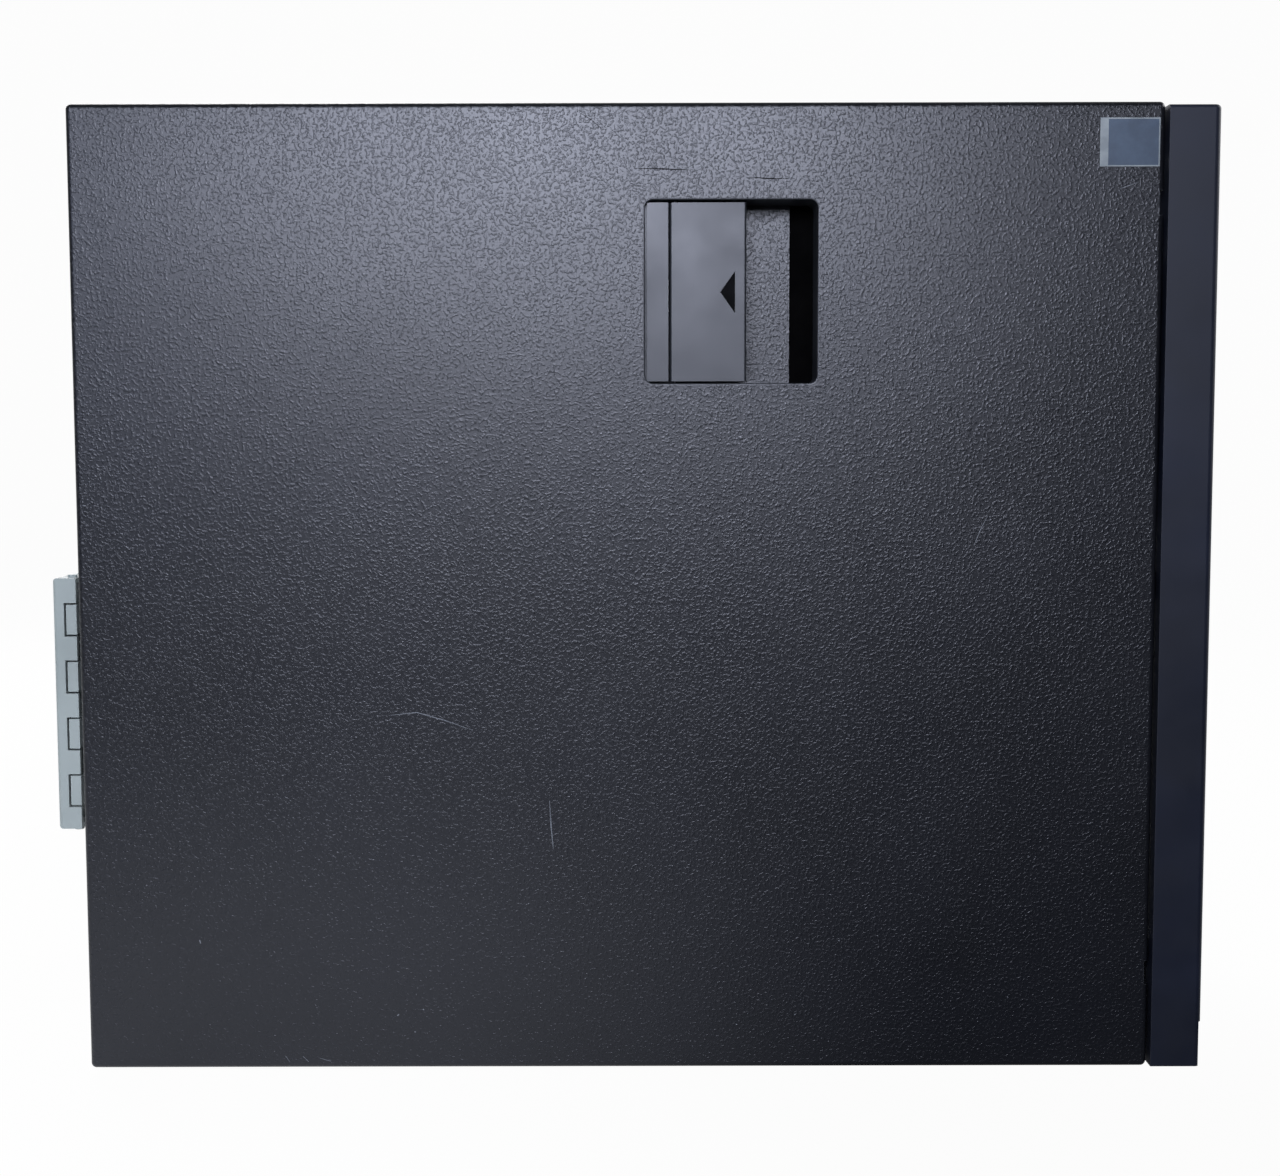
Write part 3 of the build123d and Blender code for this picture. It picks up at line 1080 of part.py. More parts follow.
def make_disc_tray():
    """Sliding tray with the disc's round recess and the slot for the spindle."""
    tray_x = (X_DRIVE_FRONT - TRAY_LENGTH, X_DRIVE_FRONT)
    tray = block(tray_x, about(DRIVE_SHIFT, TRAY_WIDTH), TRAY_Z)
    lip_y = about(DRIVE_SHIFT, TRAY_WIDTH - 14.0)
    tray += block((tray_x[1] - 8.0, tray_x[1]), lip_y, (TRAY_Z[0] - 3.0, TRAY_Z[1]))
    middle = tray_x[1] - DISC_RADIUS - 4.0
    recess_z = (TRAY_Z[1] - 3.0, TRAY_Z[1] + CUT_OVER)
    tray -= rod_z(middle, DRIVE_SHIFT, recess_z, DISC_RADIUS + 1.0)
    through = (TRAY_Z[0] - CUT_OVER, TRAY_Z[1] + CUT_OVER)
    tray -= rod_z(middle, DRIVE_SHIFT, through, 19.0)
    return tray - block((middle - DISC_RADIUS, middle), about(DRIVE_SHIFT, 38.0), through)


def make_tray_door():
    """Door on the tray's front edge, flush with the drive's front."""
    door = block((X_DRIVE_FRONT, X_DRIVE_FACE), about(DRIVE_SHIFT, DOOR_WIDTH), DOOR_Z)
    return fillet(door.faces().sort_by(Axis.X)[-1].edges(), 0.5)


def make_eject_button():
    """Push button of the drive, kept in by a flange behind the front."""
    button = block((X_DRIVE_FRONT - RUN, X_DRIVE_FACE + 0.6), EJECT_Y, EJECT_Z)
    button = fillet(button.faces().sort_by(Axis.X)[-1].edges(), 0.4)
    flange_x = (X_DRIVE_FRONT - 1.5 - RUN, X_DRIVE_FRONT - RUN)
    flange_y = (EJECT_Y[0] - 1.5, EJECT_Y[1] + 1.5)
    return button + block(flange_x, flange_y, (EJECT_Z[0] - 1.2, EJECT_Z[1] + 1.2))


# Cages and hard drive

HDD_X_FRONT = X_FRONT_WALL - SHEET - HDD_FROM_FRONT
HDD_X = (HDD_X_FRONT - HDD_WIDTH, HDD_X_FRONT)
HDD_Y = (Y_SIDE - 2.5 - HDD_LENGTH, Y_SIDE - 2.5)
HDD_Z = (Z_BASE + HDD_FROM_BASE, Z_BASE + HDD_FROM_BASE + HDD_HEIGHT)
BAY_CAGE_X = (DRIVE_X[0] + 4.0, X_FRONT_WALL - SHEET)
SHELF_Z = (SPARE_Z[0] - CLEAR - CAGE_SHEET, SPARE_Z[0] - CLEAR)
CAGE_SLOT_WIDTH = 14.0
CAGE_SLOT_COUNT = 4
CADDY_WALL = 2.5
CADDY_HEIGHT = 20.0
CADDY_Y = (HDD_Y[0], HDD_Y[1] - 12.0)
CAGE_X = (HDD_X[0] - CADDY_WALL - CLEAR - CAGE_SHEET, HDD_X[1] + CADDY_WALL + CLEAR + CAGE_SHEET)
CAGE_Z = (Z_FLOOR, HDD_Z[0] + 2 * HDD_PITCH)
CAGE_LEDGE = 5.0
HDD_PLUG_X = HDD_X[0] + 22.0


def cage_side_plate(y):
    """Upright plate beside the upper bays, hung from the roof, with slots along the spare bay."""
    plate = block(BAY_CAGE_X, y, (SHELF_Z[0], Z_ROOF))
    cut_y = (y[0] - CUT_OVER, y[1] + CUT_OVER)
    slot_z = (SPARE_Z[0] + CAGE_SLOT_WIDTH, SPARE_Z[1] - CAGE_SLOT_WIDTH)
    ends = (BAY_CAGE_X[0] + 1.5 * CAGE_SLOT_WIDTH, BAY_CAGE_X[1] - 1.5 * CAGE_SLOT_WIDTH)
    for x in spread(*ends, CAGE_SLOT_COUNT):
        plate -= block(about(x, CAGE_SLOT_WIDTH), cut_y, slot_z)
    for x, z in DRIVE_SCREWS:
        plate -= rod_y(x, cut_y, z, SCREW_HOLE)
    return plate


def make_drive_cage_near_plate():
    """Plate on the cover's side of the upper bays."""
    return cage_side_plate((DRIVE_Y[0] - CAGE_SHEET, DRIVE_Y[0]))


def make_drive_cage_far_plate():
    """Plate on the far side of the upper bays."""
    return cage_side_plate((DRIVE_Y[1], DRIVE_Y[1] + CAGE_SHEET))


def make_drive_cage_shelf():
    """Shelf between the two plates, under the spare bay."""
    return block(BAY_CAGE_X, DRIVE_Y, SHELF_Z)


def make_hdd_cage():
    """Folded cage on the floor with ledges for two hard drives."""
    cage_y = (HDD_Y[0] + 4.0, HDD_Y[1] - 6.0)
    cage = block(CAGE_X, cage_y, CAGE_Z)
    hollow_x = (CAGE_X[0] + CAGE_SHEET, CAGE_X[1] - CAGE_SHEET)
    hollow_y = (cage_y[0] - CUT_OVER, cage_y[1] + CUT_OVER)
    cage -= block(hollow_x, hollow_y, (CAGE_Z[0] - CUT_OVER, CAGE_Z[1] - CAGE_SHEET))
    for i in range(2):
        ledge_z = (HDD_Z[0] - 1.0 - RUN - 1.0 + i * HDD_PITCH, HDD_Z[0] - 1.0 - RUN + i * HDD_PITCH)
        cage += block((CAGE_X[0], hollow_x[0] + CAGE_LEDGE), cage_y, ledge_z)
        cage += block((hollow_x[1] - CAGE_LEDGE, CAGE_X[1]), cage_y, ledge_z)
    hole_z = (HDD_Z[0] + HDD_PITCH + 6.0, CAGE_Z[1] - 8.0)
    for y in spread(cage_y[0] + 24.0, cage_y[1] - 24.0, 3):
        cage -= block((CAGE_X[0] - CUT_OVER, CAGE_X[1] + CUT_OVER), about(y, 22.0), hole_z)
    return cage


def make_hard_drive():
    """Hard drive: cast body with a lid, and the plug at its near end."""
    body = block(HDD_X, HDD_Y, (HDD_Z[0], HDD_Z[1] - 1.5))
    body = fillet(body.edges().filter_by(Axis.Z), 2.5)
    lid = block((HDD_X[0] + 3, HDD_X[1] - 3), (HDD_Y[0] + 3, HDD_Y[1] - 3), (HDD_Z[1] - 1.5, HDD_Z[1]))
    body += fillet(lid.edges().filter_by(Axis.Z), 8.0)
    plug_y = (HDD_Y[0] - CUT_OVER, HDD_Y[0] + 4.0)
    return body - block(about(HDD_PLUG_X, 34.0), plug_y, about(HDD_Z[0] + 5.0, 6.0))


def make_hdd_caddy():
    """Plastic carrier that holds the hard drive's sides, with a pull bar."""
    caddy = None
    for x in ((HDD_X[0] - CADDY_WALL, HDD_X[0]), (HDD_X[1], HDD_X[1] + CADDY_WALL)):
        rail = block(x, (CADDY_Y[0] - 6.0, CADDY_Y[1]), (HDD_Z[0] - 1.0, HDD_Z[0] - 1.0 + CADDY_HEIGHT))
        caddy = rail if caddy is None else caddy + rail
    bar_x = (HDD_X[0] - CADDY_WALL, HDD_X[1] + CADDY_WALL)
    bar_z = (HDD_Z[0] + CADDY_HEIGHT - 7.0, HDD_Z[0] - 1.0 + CADDY_HEIGHT)
    caddy += block(bar_x, (CADDY_Y[0] - 6.0, CADDY_Y[0] - 3.5), bar_z)
    for x in (bar_x[0] + 48.0, bar_x[1] - 14.0):
        caddy += block(about(x, 6.0), (CADDY_Y[0] - 6.0, CADDY_Y[0]), bar_z)
    return caddy


# Front bezel, its inserts and the connectors behind it

BAY_WINDOW = 1.4
INSERT_GAP = 0.3
INSERT_FLANGE = 3.0
STEP_HEIGHT = 17.0
STEP_DEPTH = 1.0
X_BEZEL_INNER = X_FRONT - BEZEL_WALL
IO_WALL = 2.0
IO_FACE = (X_FRONT - 3.0, X_FRONT - 1.0)
IO_BOARD = (X_FRONT - 16.0, X_FRONT - 14.4)
BUTTON_PLACE = (IO_Y[1] - 18.0, (IO_Z[0] + IO_Z[1]) / 2)
USB_PLACES = [(IO_Y[0] + y, (IO_Z[0] + IO_Z[1]) / 2) for y in (18.0, 38.0)]
AUDIO_PLACES = [(IO_Y[0] + y, (IO_Z[0] + IO_Z[1]) / 2) for y in (56.0, 69.0)]
LIGHT_PLACES = [(IO_Y[1] - 38.0, (IO_Z[0] + IO_Z[1]) / 2 + z) for z in (-6.0, 6.0)]


def bezel_windows():
    """Y and Z spans of the bezel's openings: upper bay, lower bay, connectors, grille."""
    bay_y = (DRIVE_Y[0] - BAY_WINDOW, DRIVE_Y[1] + BAY_WINDOW)
    edge = 0.9
    return (
        (bay_y, (DRIVE_Z[0] - edge, DRIVE_Z[1] + edge)),
        (bay_y, (SPARE_Z[0] - edge, SPARE_Z[1] + edge)),
        ((IO_Y[0] - edge, IO_Y[1] + edge), (IO_Z[0] - edge, IO_Z[1] + edge)),
        (GRILLE_Y, GRILLE_Z),
    )


def make_front_bezel():
    """Moulded front: rounded shell with openings, edge strips inside, near clips and far hooks."""
    top = Z_TOP - BEZEL_DROP
    bezel = block((X_BEZEL, X_FRONT), (Y_LEFT, Y_RIGHT), (Z_BASE, top))
    bezel = fillet(bezel.edges().filter_by(Axis.Z).sort_by(Axis.X)[-2:], BEZEL_CORNER)
    bezel = fillet(bezel.faces().sort_by(Axis.Z)[-1].edges().sort_by(Axis.X)[1:], BEZEL_EDGE)
    step_x = (X_FRONT - STEP_DEPTH, X_FRONT + CUT_OVER)
    bezel -= block(step_x, (Y_LEFT - CUT_OVER, Y_RIGHT + CUT_OVER), (Z_BASE - CUT_OVER, Z_BASE + STEP_HEIGHT))
    hollow_y = (Y_LEFT + BEZEL_WALL, Y_RIGHT - BEZEL_WALL)
    bezel -= block((X_BEZEL - CUT_OVER, X_BEZEL_INNER), hollow_y, (Z_BASE + BEZEL_WALL, top - BEZEL_WALL))
    for window_y, window_z in bezel_windows():
        bezel -= block((X_BEZEL_INNER - CUT_OVER, X_FRONT + CUT_OVER), window_y, window_z)
    rib_x = (X_BEZEL, X_BEZEL + BEZEL_WALL)
    return_z = (Z_BASE + BEZEL_WALL / 2, top - BEZEL_WALL / 2)
    bezel += block(rib_x, (Y_LEFT + BEZEL_WALL / 2, Y_LEFT + BEZEL_RETURN), return_z)
    bezel += block(rib_x, (DRIVE_Y[1] + BAY_WINDOW, Y_RIGHT - BEZEL_WALL / 2), return_z)
    behind = X_FRONT_WALL - SHEET - CLEAR
    for z in CLIP_Z:
        wide = about(z, BEZEL_CLIP_WIDTH)
        arm_y = about(Y_CLIP, BEZEL_CLIP_THICKNESS)
        bezel += block(rib_x, (Y_LEFT + BEZEL_WALL / 2, arm_y[1]), wide)
        bezel += block((behind - 4.0, X_BEZEL), arm_y, wide)
        bezel += block((behind - 4.0, behind - 0.5), (arm_y[0] - 0.5, arm_y[1]), wide)
    for z in BEZEL_HOOK_Z:
        wide = about(z, BEZEL_CLIP_WIDTH)
        arm_y = about(Y_BEZEL_HOOK, BEZEL_CLIP_THICKNESS)
        bezel += block(rib_x, (arm_y[0], Y_RIGHT - BEZEL_WALL / 2), wide)
        bezel += block((behind - 2.0, X_BEZEL), arm_y, wide)
        bezel += block((behind - 2.0, behind), (arm_y[0] - BEZEL_CLIP_REACH, arm_y[1]), wide)
    return bezel


def insert_plate(window, face_x, depth):
    """Plate that fills a bezel opening, with side flanges behind the bezel's wall."""
    window_y, window_z = window
    inner_y = (window_y[0] + INSERT_GAP, window_y[1] - INSERT_GAP)
    inner_z = (window_z[0] + INSERT_GAP, window_z[1] - INSERT_GAP)
    plate = block((face_x - depth, face_x), inner_y, inner_z)
    flange_y = (window_y[0] - INSERT_FLANGE, window_y[1] + INSERT_FLANGE)
    return plate + block((X_BEZEL_INNER - 1.5, X_BEZEL_INNER), flange_y, inner_z)


def make_bay_blank():
    """Blank cover of the spare bay."""
    blank = insert_plate(bezel_windows()[1], X_FRONT - 1.0, 3.0)
    return fillet(blank.faces().sort_by(Axis.X)[-1].edges(), 0.6)


def make_bezel_grille():
    """Honeycomb grille, a tight fit between the sides of the bezel's lower opening."""
    window_y, window_z = bezel_windows()[3]
    outer = flat(window_y, (window_z[0] + INSERT_GAP, window_z[1] - INSERT_GAP))
    inner_y = (window_y[0] + GRILLE_RIM, window_y[1] - GRILLE_RIM)
    inner_z = (window_z[0] + GRILLE_RIM, window_z[1] - GRILLE_RIM)
    spots = honeycomb(inner_y, inner_z, GRILLE_PITCH, GRILLE_HOLE)
    face_x = X_FRONT - STEP_DEPTH
    return plate_x(pierced(outer, spots, GRILLE_HOLE), (face_x - GRILLE_THICKNESS, face_x))


def make_front_io_panel():
    """Moulded box on the inner front that carries the power button and front connectors."""
    panel = block((X_FRONT_WALL, IO_FACE[1]), IO_Y, IO_Z)
    panel = fillet(panel.faces().sort_by(Axis.X)[-1].edges(), 0.8)
    inner_y = (IO_Y[0] + IO_WALL, IO_Y[1] - IO_WALL)
    panel -= block((X_FRONT_WALL - CUT_OVER, IO_FACE[0]), inner_y, (IO_Z[0] + IO_WALL, IO_Z[1] - IO_WALL))
    cut_x = (IO_FACE[0] - CUT_OVER, IO_FACE[1] + CUT_OVER)
    panel -= rod_x(cut_x, BUTTON_PLACE[0], BUTTON_PLACE[1], BUTTON_RADIUS + CLEAR)
    for y, z in USB_PLACES:
        panel -= block(cut_x, about(y, 13.2), about(z, 5.8))
    for y, z in AUDIO_PLACES:
        panel -= rod_x(cut_x, y, z, 3.2)
    for y, z in LIGHT_PLACES:
        panel -= rod_x(cut_x, y, z, 1.5 + RUN)
    return panel


def make_front_io_board():
    """Small circuit board behind the front connectors, with the power switch."""
    inner_y = (IO_Y[0] + IO_WALL, IO_Y[1] - IO_WALL)
    board = block(IO_BOARD, inner_y, (IO_Z[0] + IO_WALL, IO_Z[1] - IO_WALL))
    switch_x = (IO_BOARD[1], X_FRONT - 8.5)
    return board + block(switch_x, about(BUTTON_PLACE[0], 7.0), about(BUTTON_PLACE[1], 7.0))


def make_front_ports():
    """Front bus sockets and audio sockets."""
    ports = []
    face_x = IO_FACE[1] - 0.3
    for y, z in USB_PLACES:
        port = block((IO_BOARD[1], face_x), about(y, 13.0), about(z, 5.6))
        mouth_x = (face_x - 8.5, face_x + CUT_OVER)
        port -= block(mouth_x, about(y, 12.2), about(z, 4.8))
        ports.append(port + block((face_x - 9.0, face_x - 1.0), about(y, 11.0), about(z + 0.9, 1.8)))
    for y, z in AUDIO_PLACES:
        port = rod_x((IO_BOARD[1], face_x), y, z, 3.0)
        ports.append(port - rod_x((face_x - 9.0, face_x + CUT_OVER), y, z, 1.8))
    return several(ports)


def make_indicator_lights():
    """Two light pipes beside the power button."""
    return several([rod_x((IO_BOARD[1], IO_FACE[1]), y, z, 1.5) for y, z in LIGHT_PLACES])


def make_power_button():
    """Round push button, kept in by a flange behind the panel."""
    y, z = BUTTON_PLACE
    button = rod_x((IO_FACE[0] - RUN, X_FRONT - 0.2), y, z, BUTTON_RADIUS)
    button = fillet(button.edges().sort_by(Axis.X)[-1:], 0.4)
    flange_x = (IO_FACE[0] - 1.5 - RUN, IO_FACE[0] - RUN)
    return button + rod_x(flange_x, y, z, BUTTON_RADIUS + 2.0)


# Cables inside

CABLE_RADIUS = 1.8
CABLE_BEND = 8.0
LOOM_BEND = 24.0
Y_HDD_CABLE = HDD_Y[0] - 8.0
X_CABLE_RUN = CAGE_X[0] - 16.0


def tube(points, bend, radius):
    """Round cable through the given corners, with the given bend at each."""
    path = FilletPolyline(*points, radius=bend)
    start = Plane(origin=path @ 0, z_dir=path % 0)
    return sweep(start * Circle(radius), path=path)


def make_power_loom():
    """Sleeved wires from the power supply to the board's power plug."""
    exit_y, exit_z = LOOM_EXIT
    plug_x, plug_z = POWER_PLUG
    corners = [
        (PSU_X[1] - 6.0, exit_y, exit_z),
        (plug_x, exit_y, exit_z),
        (plug_x, exit_y, plug_z),
        (plug_x, Y_BOARD - POWER_PLUG_HEIGHT, plug_z),
    ]
    return tube(corners, LOOM_BEND, LOOM_RADIUS)


def make_sata_cable():
    """Data cable from the board to the hard drive's plug."""
    x, z = SATA_PLUGS[0]
    plug_z = HDD_Z[0] + 5.0
    corners = [
        (x, Y_BOARD - PLUG_HEIGHT, z),
        (x, DRIVE_SHIFT, z),
        (X_CABLE_RUN, DRIVE_SHIFT, z),
        (X_CABLE_RUN, Y_HDD_CABLE, z),
        (X_CABLE_RUN, Y_HDD_CABLE, plug_z),
        (HDD_PLUG_X, Y_HDD_CABLE, plug_z),
        (HDD_PLUG_X, HDD_Y[0] + 4.0, plug_z),
    ]
    return tube(corners, CABLE_BEND, CABLE_RADIUS)


def make_front_cable():
    """Cable from the front connectors to the board's lower edge."""
    x, z = FRONT_PLUG
    start_y, start_z = DRIVE_SHIFT + 20.0, sum(IO_Z) / 2
    corners = [
        (IO_BOARD[0], start_y, start_z),
        (X_CABLE_RUN, start_y, start_z),
        (X_CABLE_RUN, start_y, z),
        (X_CABLE_RUN, Y_BOARD - 25.0, z),
        (x, Y_BOARD - 25.0, z),
        (x, Y_BOARD - PLUG_HEIGHT, z),
    ]
    return tube(corners, CABLE_BEND, CABLE_RADIUS)


# Write every node

NODES = {
    "base_pan": make_base_pan,
    "right_side_panel": make_right_side_panel,
    "top_panel": make_top_panel,
    "rear_wall": make_rear_wall,
    "rear_fan_grille": make_rear_fan_grille,
    "front_wall": make_front_wall,
    "rubber_feet": make_rubber_feet,
    "side_cover": make_side_cover,
    "latch_housing": make_latch_housing,
    "latch_pin": make_latch_pin,
    "latch_paddle": make_latch_paddle,
    "latch_bar": make_latch_bar,
    "latch_spring": make_latch_spring,
    "slot_covers": make_slot_covers,
    "card_latch_bracket": make_card_latch_bracket,
    "card_latch": make_card_latch,
    "psu_case": make_psu_case,
    "psu_guard": make_psu_guard,
    "psu_fan_frame": make_psu_fan_frame,
    "psu_fan_rotor": make_psu_fan_rotor,
    "power_inlet": make_power_inlet,
    "psu_test_button": make_psu_test_button,
    "system_fan_frame": make_system_fan_frame,
    "system_fan_rotor": make_system_fan_rotor,
    "motherboard": make_motherboard,
    "screws": make_screws,
    "cpu_socket": make_cpu_socket,
    "heatsink": make_heatsink,
    "cooler_fan_frame": make_cooler_fan_frame,
    "cooler_fan_rotor": make_cooler_fan_rotor,
    "board_sockets": make_board_sockets,
    "memory_modules": make_memory_modules,
    "chipset_heatsink": make_chipset_heatsink,
    "coin_cell": make_coin_cell,
    "power_components": make_power_components,
    "io_shield": make_io_shield,
    "io_metal_ports": make_io_metal_ports,
    "io_plastic_ports": make_io_plastic_ports,
    "optical_drive_case": make_optical_drive_case,
    "optical_drive_front": make_optical_drive_front,
    "disc_tray": make_disc_tray,
    "tray_door": make_tray_door,
    "eject_button": make_eject_button,
    "drive_cage_near_plate": make_drive_cage_near_plate,
    "drive_cage_far_plate": make_drive_cage_far_plate,
    "drive_cage_shelf": make_drive_cage_shelf,
    "hdd_cage": make_hdd_cage,
    "hard_drive": make_hard_drive,
    "hdd_caddy": make_hdd_caddy,
    "front_bezel": make_front_bezel,
    "bay_blank": make_bay_blank,
    "bezel_grille": make_bezel_grille,
    "front_io_panel": make_front_io_panel,
    "front_io_board": make_front_io_board,
    "front_ports": make_front_ports,
    "indicator_lights": make_indicator_lights,
    "power_button": make_power_button,
    "power_loom": make_power_loom,
    "sata_cable": make_sata_cable,
    "front_cable": make_front_cable,
}

os.makedirs("parts", exist_ok=True)
for name, make in NODES.items():
    export_step(make(), "parts/" + name + ".step")
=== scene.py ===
import math
import random

import bmesh
import bpy
from mathutils import Matrix, Vector


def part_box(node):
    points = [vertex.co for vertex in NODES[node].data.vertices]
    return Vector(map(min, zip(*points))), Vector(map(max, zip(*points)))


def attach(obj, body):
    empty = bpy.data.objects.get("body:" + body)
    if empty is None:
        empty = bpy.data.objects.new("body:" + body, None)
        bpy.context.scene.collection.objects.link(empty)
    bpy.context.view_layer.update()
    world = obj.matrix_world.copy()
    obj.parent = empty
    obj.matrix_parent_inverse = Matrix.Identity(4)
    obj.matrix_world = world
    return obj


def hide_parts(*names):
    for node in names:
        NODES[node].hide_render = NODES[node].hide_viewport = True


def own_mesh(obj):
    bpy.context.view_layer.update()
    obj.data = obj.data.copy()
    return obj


# Dressing of a mini-tower desktop computer: finishes for every piece, small fittings, cables,
# floor, light and camera. Lengths are metres; a number times MM is a length in millimetres.

MM = 0.001
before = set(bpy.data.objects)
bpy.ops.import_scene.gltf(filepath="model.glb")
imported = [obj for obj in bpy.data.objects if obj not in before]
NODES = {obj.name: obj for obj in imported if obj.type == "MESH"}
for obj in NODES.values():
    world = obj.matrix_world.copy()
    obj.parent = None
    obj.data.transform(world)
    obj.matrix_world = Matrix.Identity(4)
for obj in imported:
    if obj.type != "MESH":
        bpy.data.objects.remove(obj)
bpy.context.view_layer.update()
COVER_LOW, COVER_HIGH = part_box("side_cover")
Y_FACE = COVER_LOW.y


# Colour and node helpers


def srgb(code):
    """Linear colour of an sRGB hex code."""
    linear = []
    for i in (1, 3, 5):
        value = int(code[i : i + 2], 16) / 255.0
        linear.append(value / 12.92 if value <= 0.04045 else ((value + 0.055) / 1.055) ** 2.4)
    return (*linear, 1.0)


def add(tree, kind, inputs=None, **settings):
    """New node with its settings; an input is a value or another node's output."""
    node = tree.nodes.new(kind)
    for key, value in settings.items():
        setattr(node, key, value)
    for key, value in (inputs or {}).items():
        if isinstance(value, bpy.types.NodeSocket):
            tree.links.new(value, node.inputs[key])
        else:
            node.inputs[key].default_value = value
    return node


def new_material(name, **sockets):
    """Named material with its shader's fixed values set; returns material, tree, shader and place."""
    material = bpy.data.materials.new(name)
    material.use_nodes = True
    tree = material.node_tree
    tree.nodes.clear()
    shader = add(tree, "ShaderNodeBsdfPrincipled", sockets)
    add(tree, "ShaderNodeOutputMaterial", {"Surface": shader.outputs["BSDF"]})
    place = add(tree, "ShaderNodeTexCoord").outputs["Object"]
    return material, tree, shader, place


def per_metre(millimetres):
    """Noise scale whose features are about that many millimetres across."""
    return 1.0 / (millimetres * MM)


def blotches(tree, place, dark, light, patch):
    """Colour that wanders between two hex colours in patches of so many millimetres."""
    noise = add(tree, "ShaderNodeTexNoise", {"Vector": place, "Scale": per_metre(patch), "Detail": 3.0})
    ramp = add(tree, "ShaderNodeValToRGB", {"Fac": noise.outputs["Fac"]})
    ramp.color_ramp.elements[0].position = 0.35
    ramp.color_ramp.elements[0].color = srgb(dark)
    ramp.color_ramp.elements[1].position = 0.65
    ramp.color_ramp.elements[1].color = srgb(light)
    return ramp.outputs["Color"]


def rough_between(tree, place, low, high, patch):
    """Roughness that wanders between two values in patches of so many millimetres."""
    noise = add(tree, "ShaderNodeTexNoise", {"Vector": place, "Scale": per_metre(patch), "Detail": 4.0})
    spread = add(
        tree,
        "ShaderNodeMapRange",
        {"Value": noise.outputs["Fac"], "From Min": 0.3, "From Max": 0.7, "To Min": low, "To Max": high},
    )
    return spread.outputs["Result"]


def edge_wear(tree, base, rubbed, amount, width):
    """Colour that turns to a rubbed one at sharp edges, over a width in millimetres."""
    bevel = add(tree, "ShaderNodeBevel", {"Radius": width * MM}, samples=4)
    geometry = add(tree, "ShaderNodeNewGeometry")
    across = add(
        tree,
        "ShaderNodeVectorMath",
        {0: bevel.outputs["Normal"], 1: geometry.outputs["Normal"]},
        operation="DOT_PRODUCT",
    )
    mask = add(
        tree,
        "ShaderNodeMapRange",
        {"Value": across.outputs["Value"], "From Min": 0.97, "From Max": 0.8, "To Max": amount},
    )
    worn = add(
        tree,
        "ShaderNodeMix",
        {"Factor": mask.outputs["Result"], "A": base, "B": srgb(rubbed)},
        data_type="RGBA",
    )
    return worn.outputs["Result"]


def finish_surface(tree, shader, colour, rough, relief=None, strength=0.0, depth=0.0):
    """Gives a shader its colour and roughness, and a fine relief with its depth in millimetres."""
    tree.links.new(colour, shader.inputs["Base Color"])
    tree.links.new(rough, shader.inputs["Roughness"])
    if relief is not None:
        bump = add(tree, "ShaderNodeBump", {"Height": relief, "Strength": strength, "Distance": depth * MM})
        tree.links.new(bump.outputs["Normal"], shader.inputs["Normal"])


# Finishes

COOL_GLOSS = "#eef2ff"
BRAID_SLANT = 0.8


def wrinkle_powder_coat():
    """Black polyester powder coat, baked to a wrinkle: bumps about a millimetre apart that glint."""
    sockets = {"IOR": 1.5, "Specular IOR Level": 0.66, "Specular Tint": srgb(COOL_GLOSS)}
    material, tree, shader, place = new_material("wrinkle_powder_coat", **sockets)
    bumps = add(
        tree,
        "ShaderNodeTexNoise",
        {"Vector": place, "Scale": per_metre(1.12), "Detail": 2.0, "Distortion": 0.4},
    )
    ridges = add(
        tree,
        "ShaderNodeMapRange",
        {"Value": bumps.outputs["Fac"], "From Min": 0.46, "From Max": 0.69},
        interpolation_type="SMOOTHSTEP",
    ).outputs["Result"]
    base = blotches(tree, place, "#0c0e13", "#101218", patch=60.0)
    colour = edge_wear(tree, base, "#4a4d54", amount=0.5, width=0.9)
    rough = rough_between(tree, place, low=0.335, high=0.36, patch=35.0)
    finish_surface(tree, shader, colour, rough, ridges, strength=0.8, depth=0.085)
    return material


def moulded_plastic(name, dark, light, grain=0.5, depth=0.02, rough=(0.36, 0.46), wear=0.3, sheen=0.5):
    """Moulded plastic with fine spark-eroded grain from its tool and edges polished by handling."""
    sockets = {"IOR": 1.53, "Specular IOR Level": sheen, "Specular Tint": srgb(COOL_GLOSS)}
    material, tree, shader, place = new_material(name, **sockets)
    base = blotches(tree, place, dark, light, patch=45.0)
    colour = edge_wear(tree, base, "#5b5e66", amount=wear, width=0.5)
    pits = add(tree, "ShaderNodeTexNoise", {"Vector": place, "Scale": per_metre(grain), "Detail": 3.0})
    rough = rough_between(tree, place, *rough, patch=20.0)
    finish_surface(tree, shader, colour, rough, pits.outputs["Fac"], strength=0.5, depth=depth)
    return material


def bare_metal(name, dark, light, rough=(0.32, 0.46), spangle=9.0):
    """Bare or plated metal: a faint crystal spangle, and fine lines along X from its rolls or die."""
    material, tree, shader, place = new_material(name, Metallic=1.0)
    cells = add(tree, "ShaderNodeTexVoronoi", {"Vector": place, "Scale": per_metre(spangle)})
    shade = add(tree, "ShaderNodeSeparateColor", {"Color": cells.outputs["Color"]})
    base = add(
        tree,
        "ShaderNodeMix",
        {"Factor": shade.outputs["Red"], "A": srgb(dark), "B": srgb(light)},
        data_type="RGBA",
    ).outputs["Result"]
    drawn = add(tree, "ShaderNodeMapping", {"Vector": place, "Scale": (0.04, 1.0, 1.0)})
    lines = add(tree, "ShaderNodeTexNoise", {"Vector": drawn.outputs["Vector"], "Scale": per_metre(0.6)})
    rough = rough_between(tree, place, *rough, patch=12.0)
    finish_surface(tree, shader, base, rough, lines.outputs["Fac"], strength=0.2, depth=0.01)
    return material


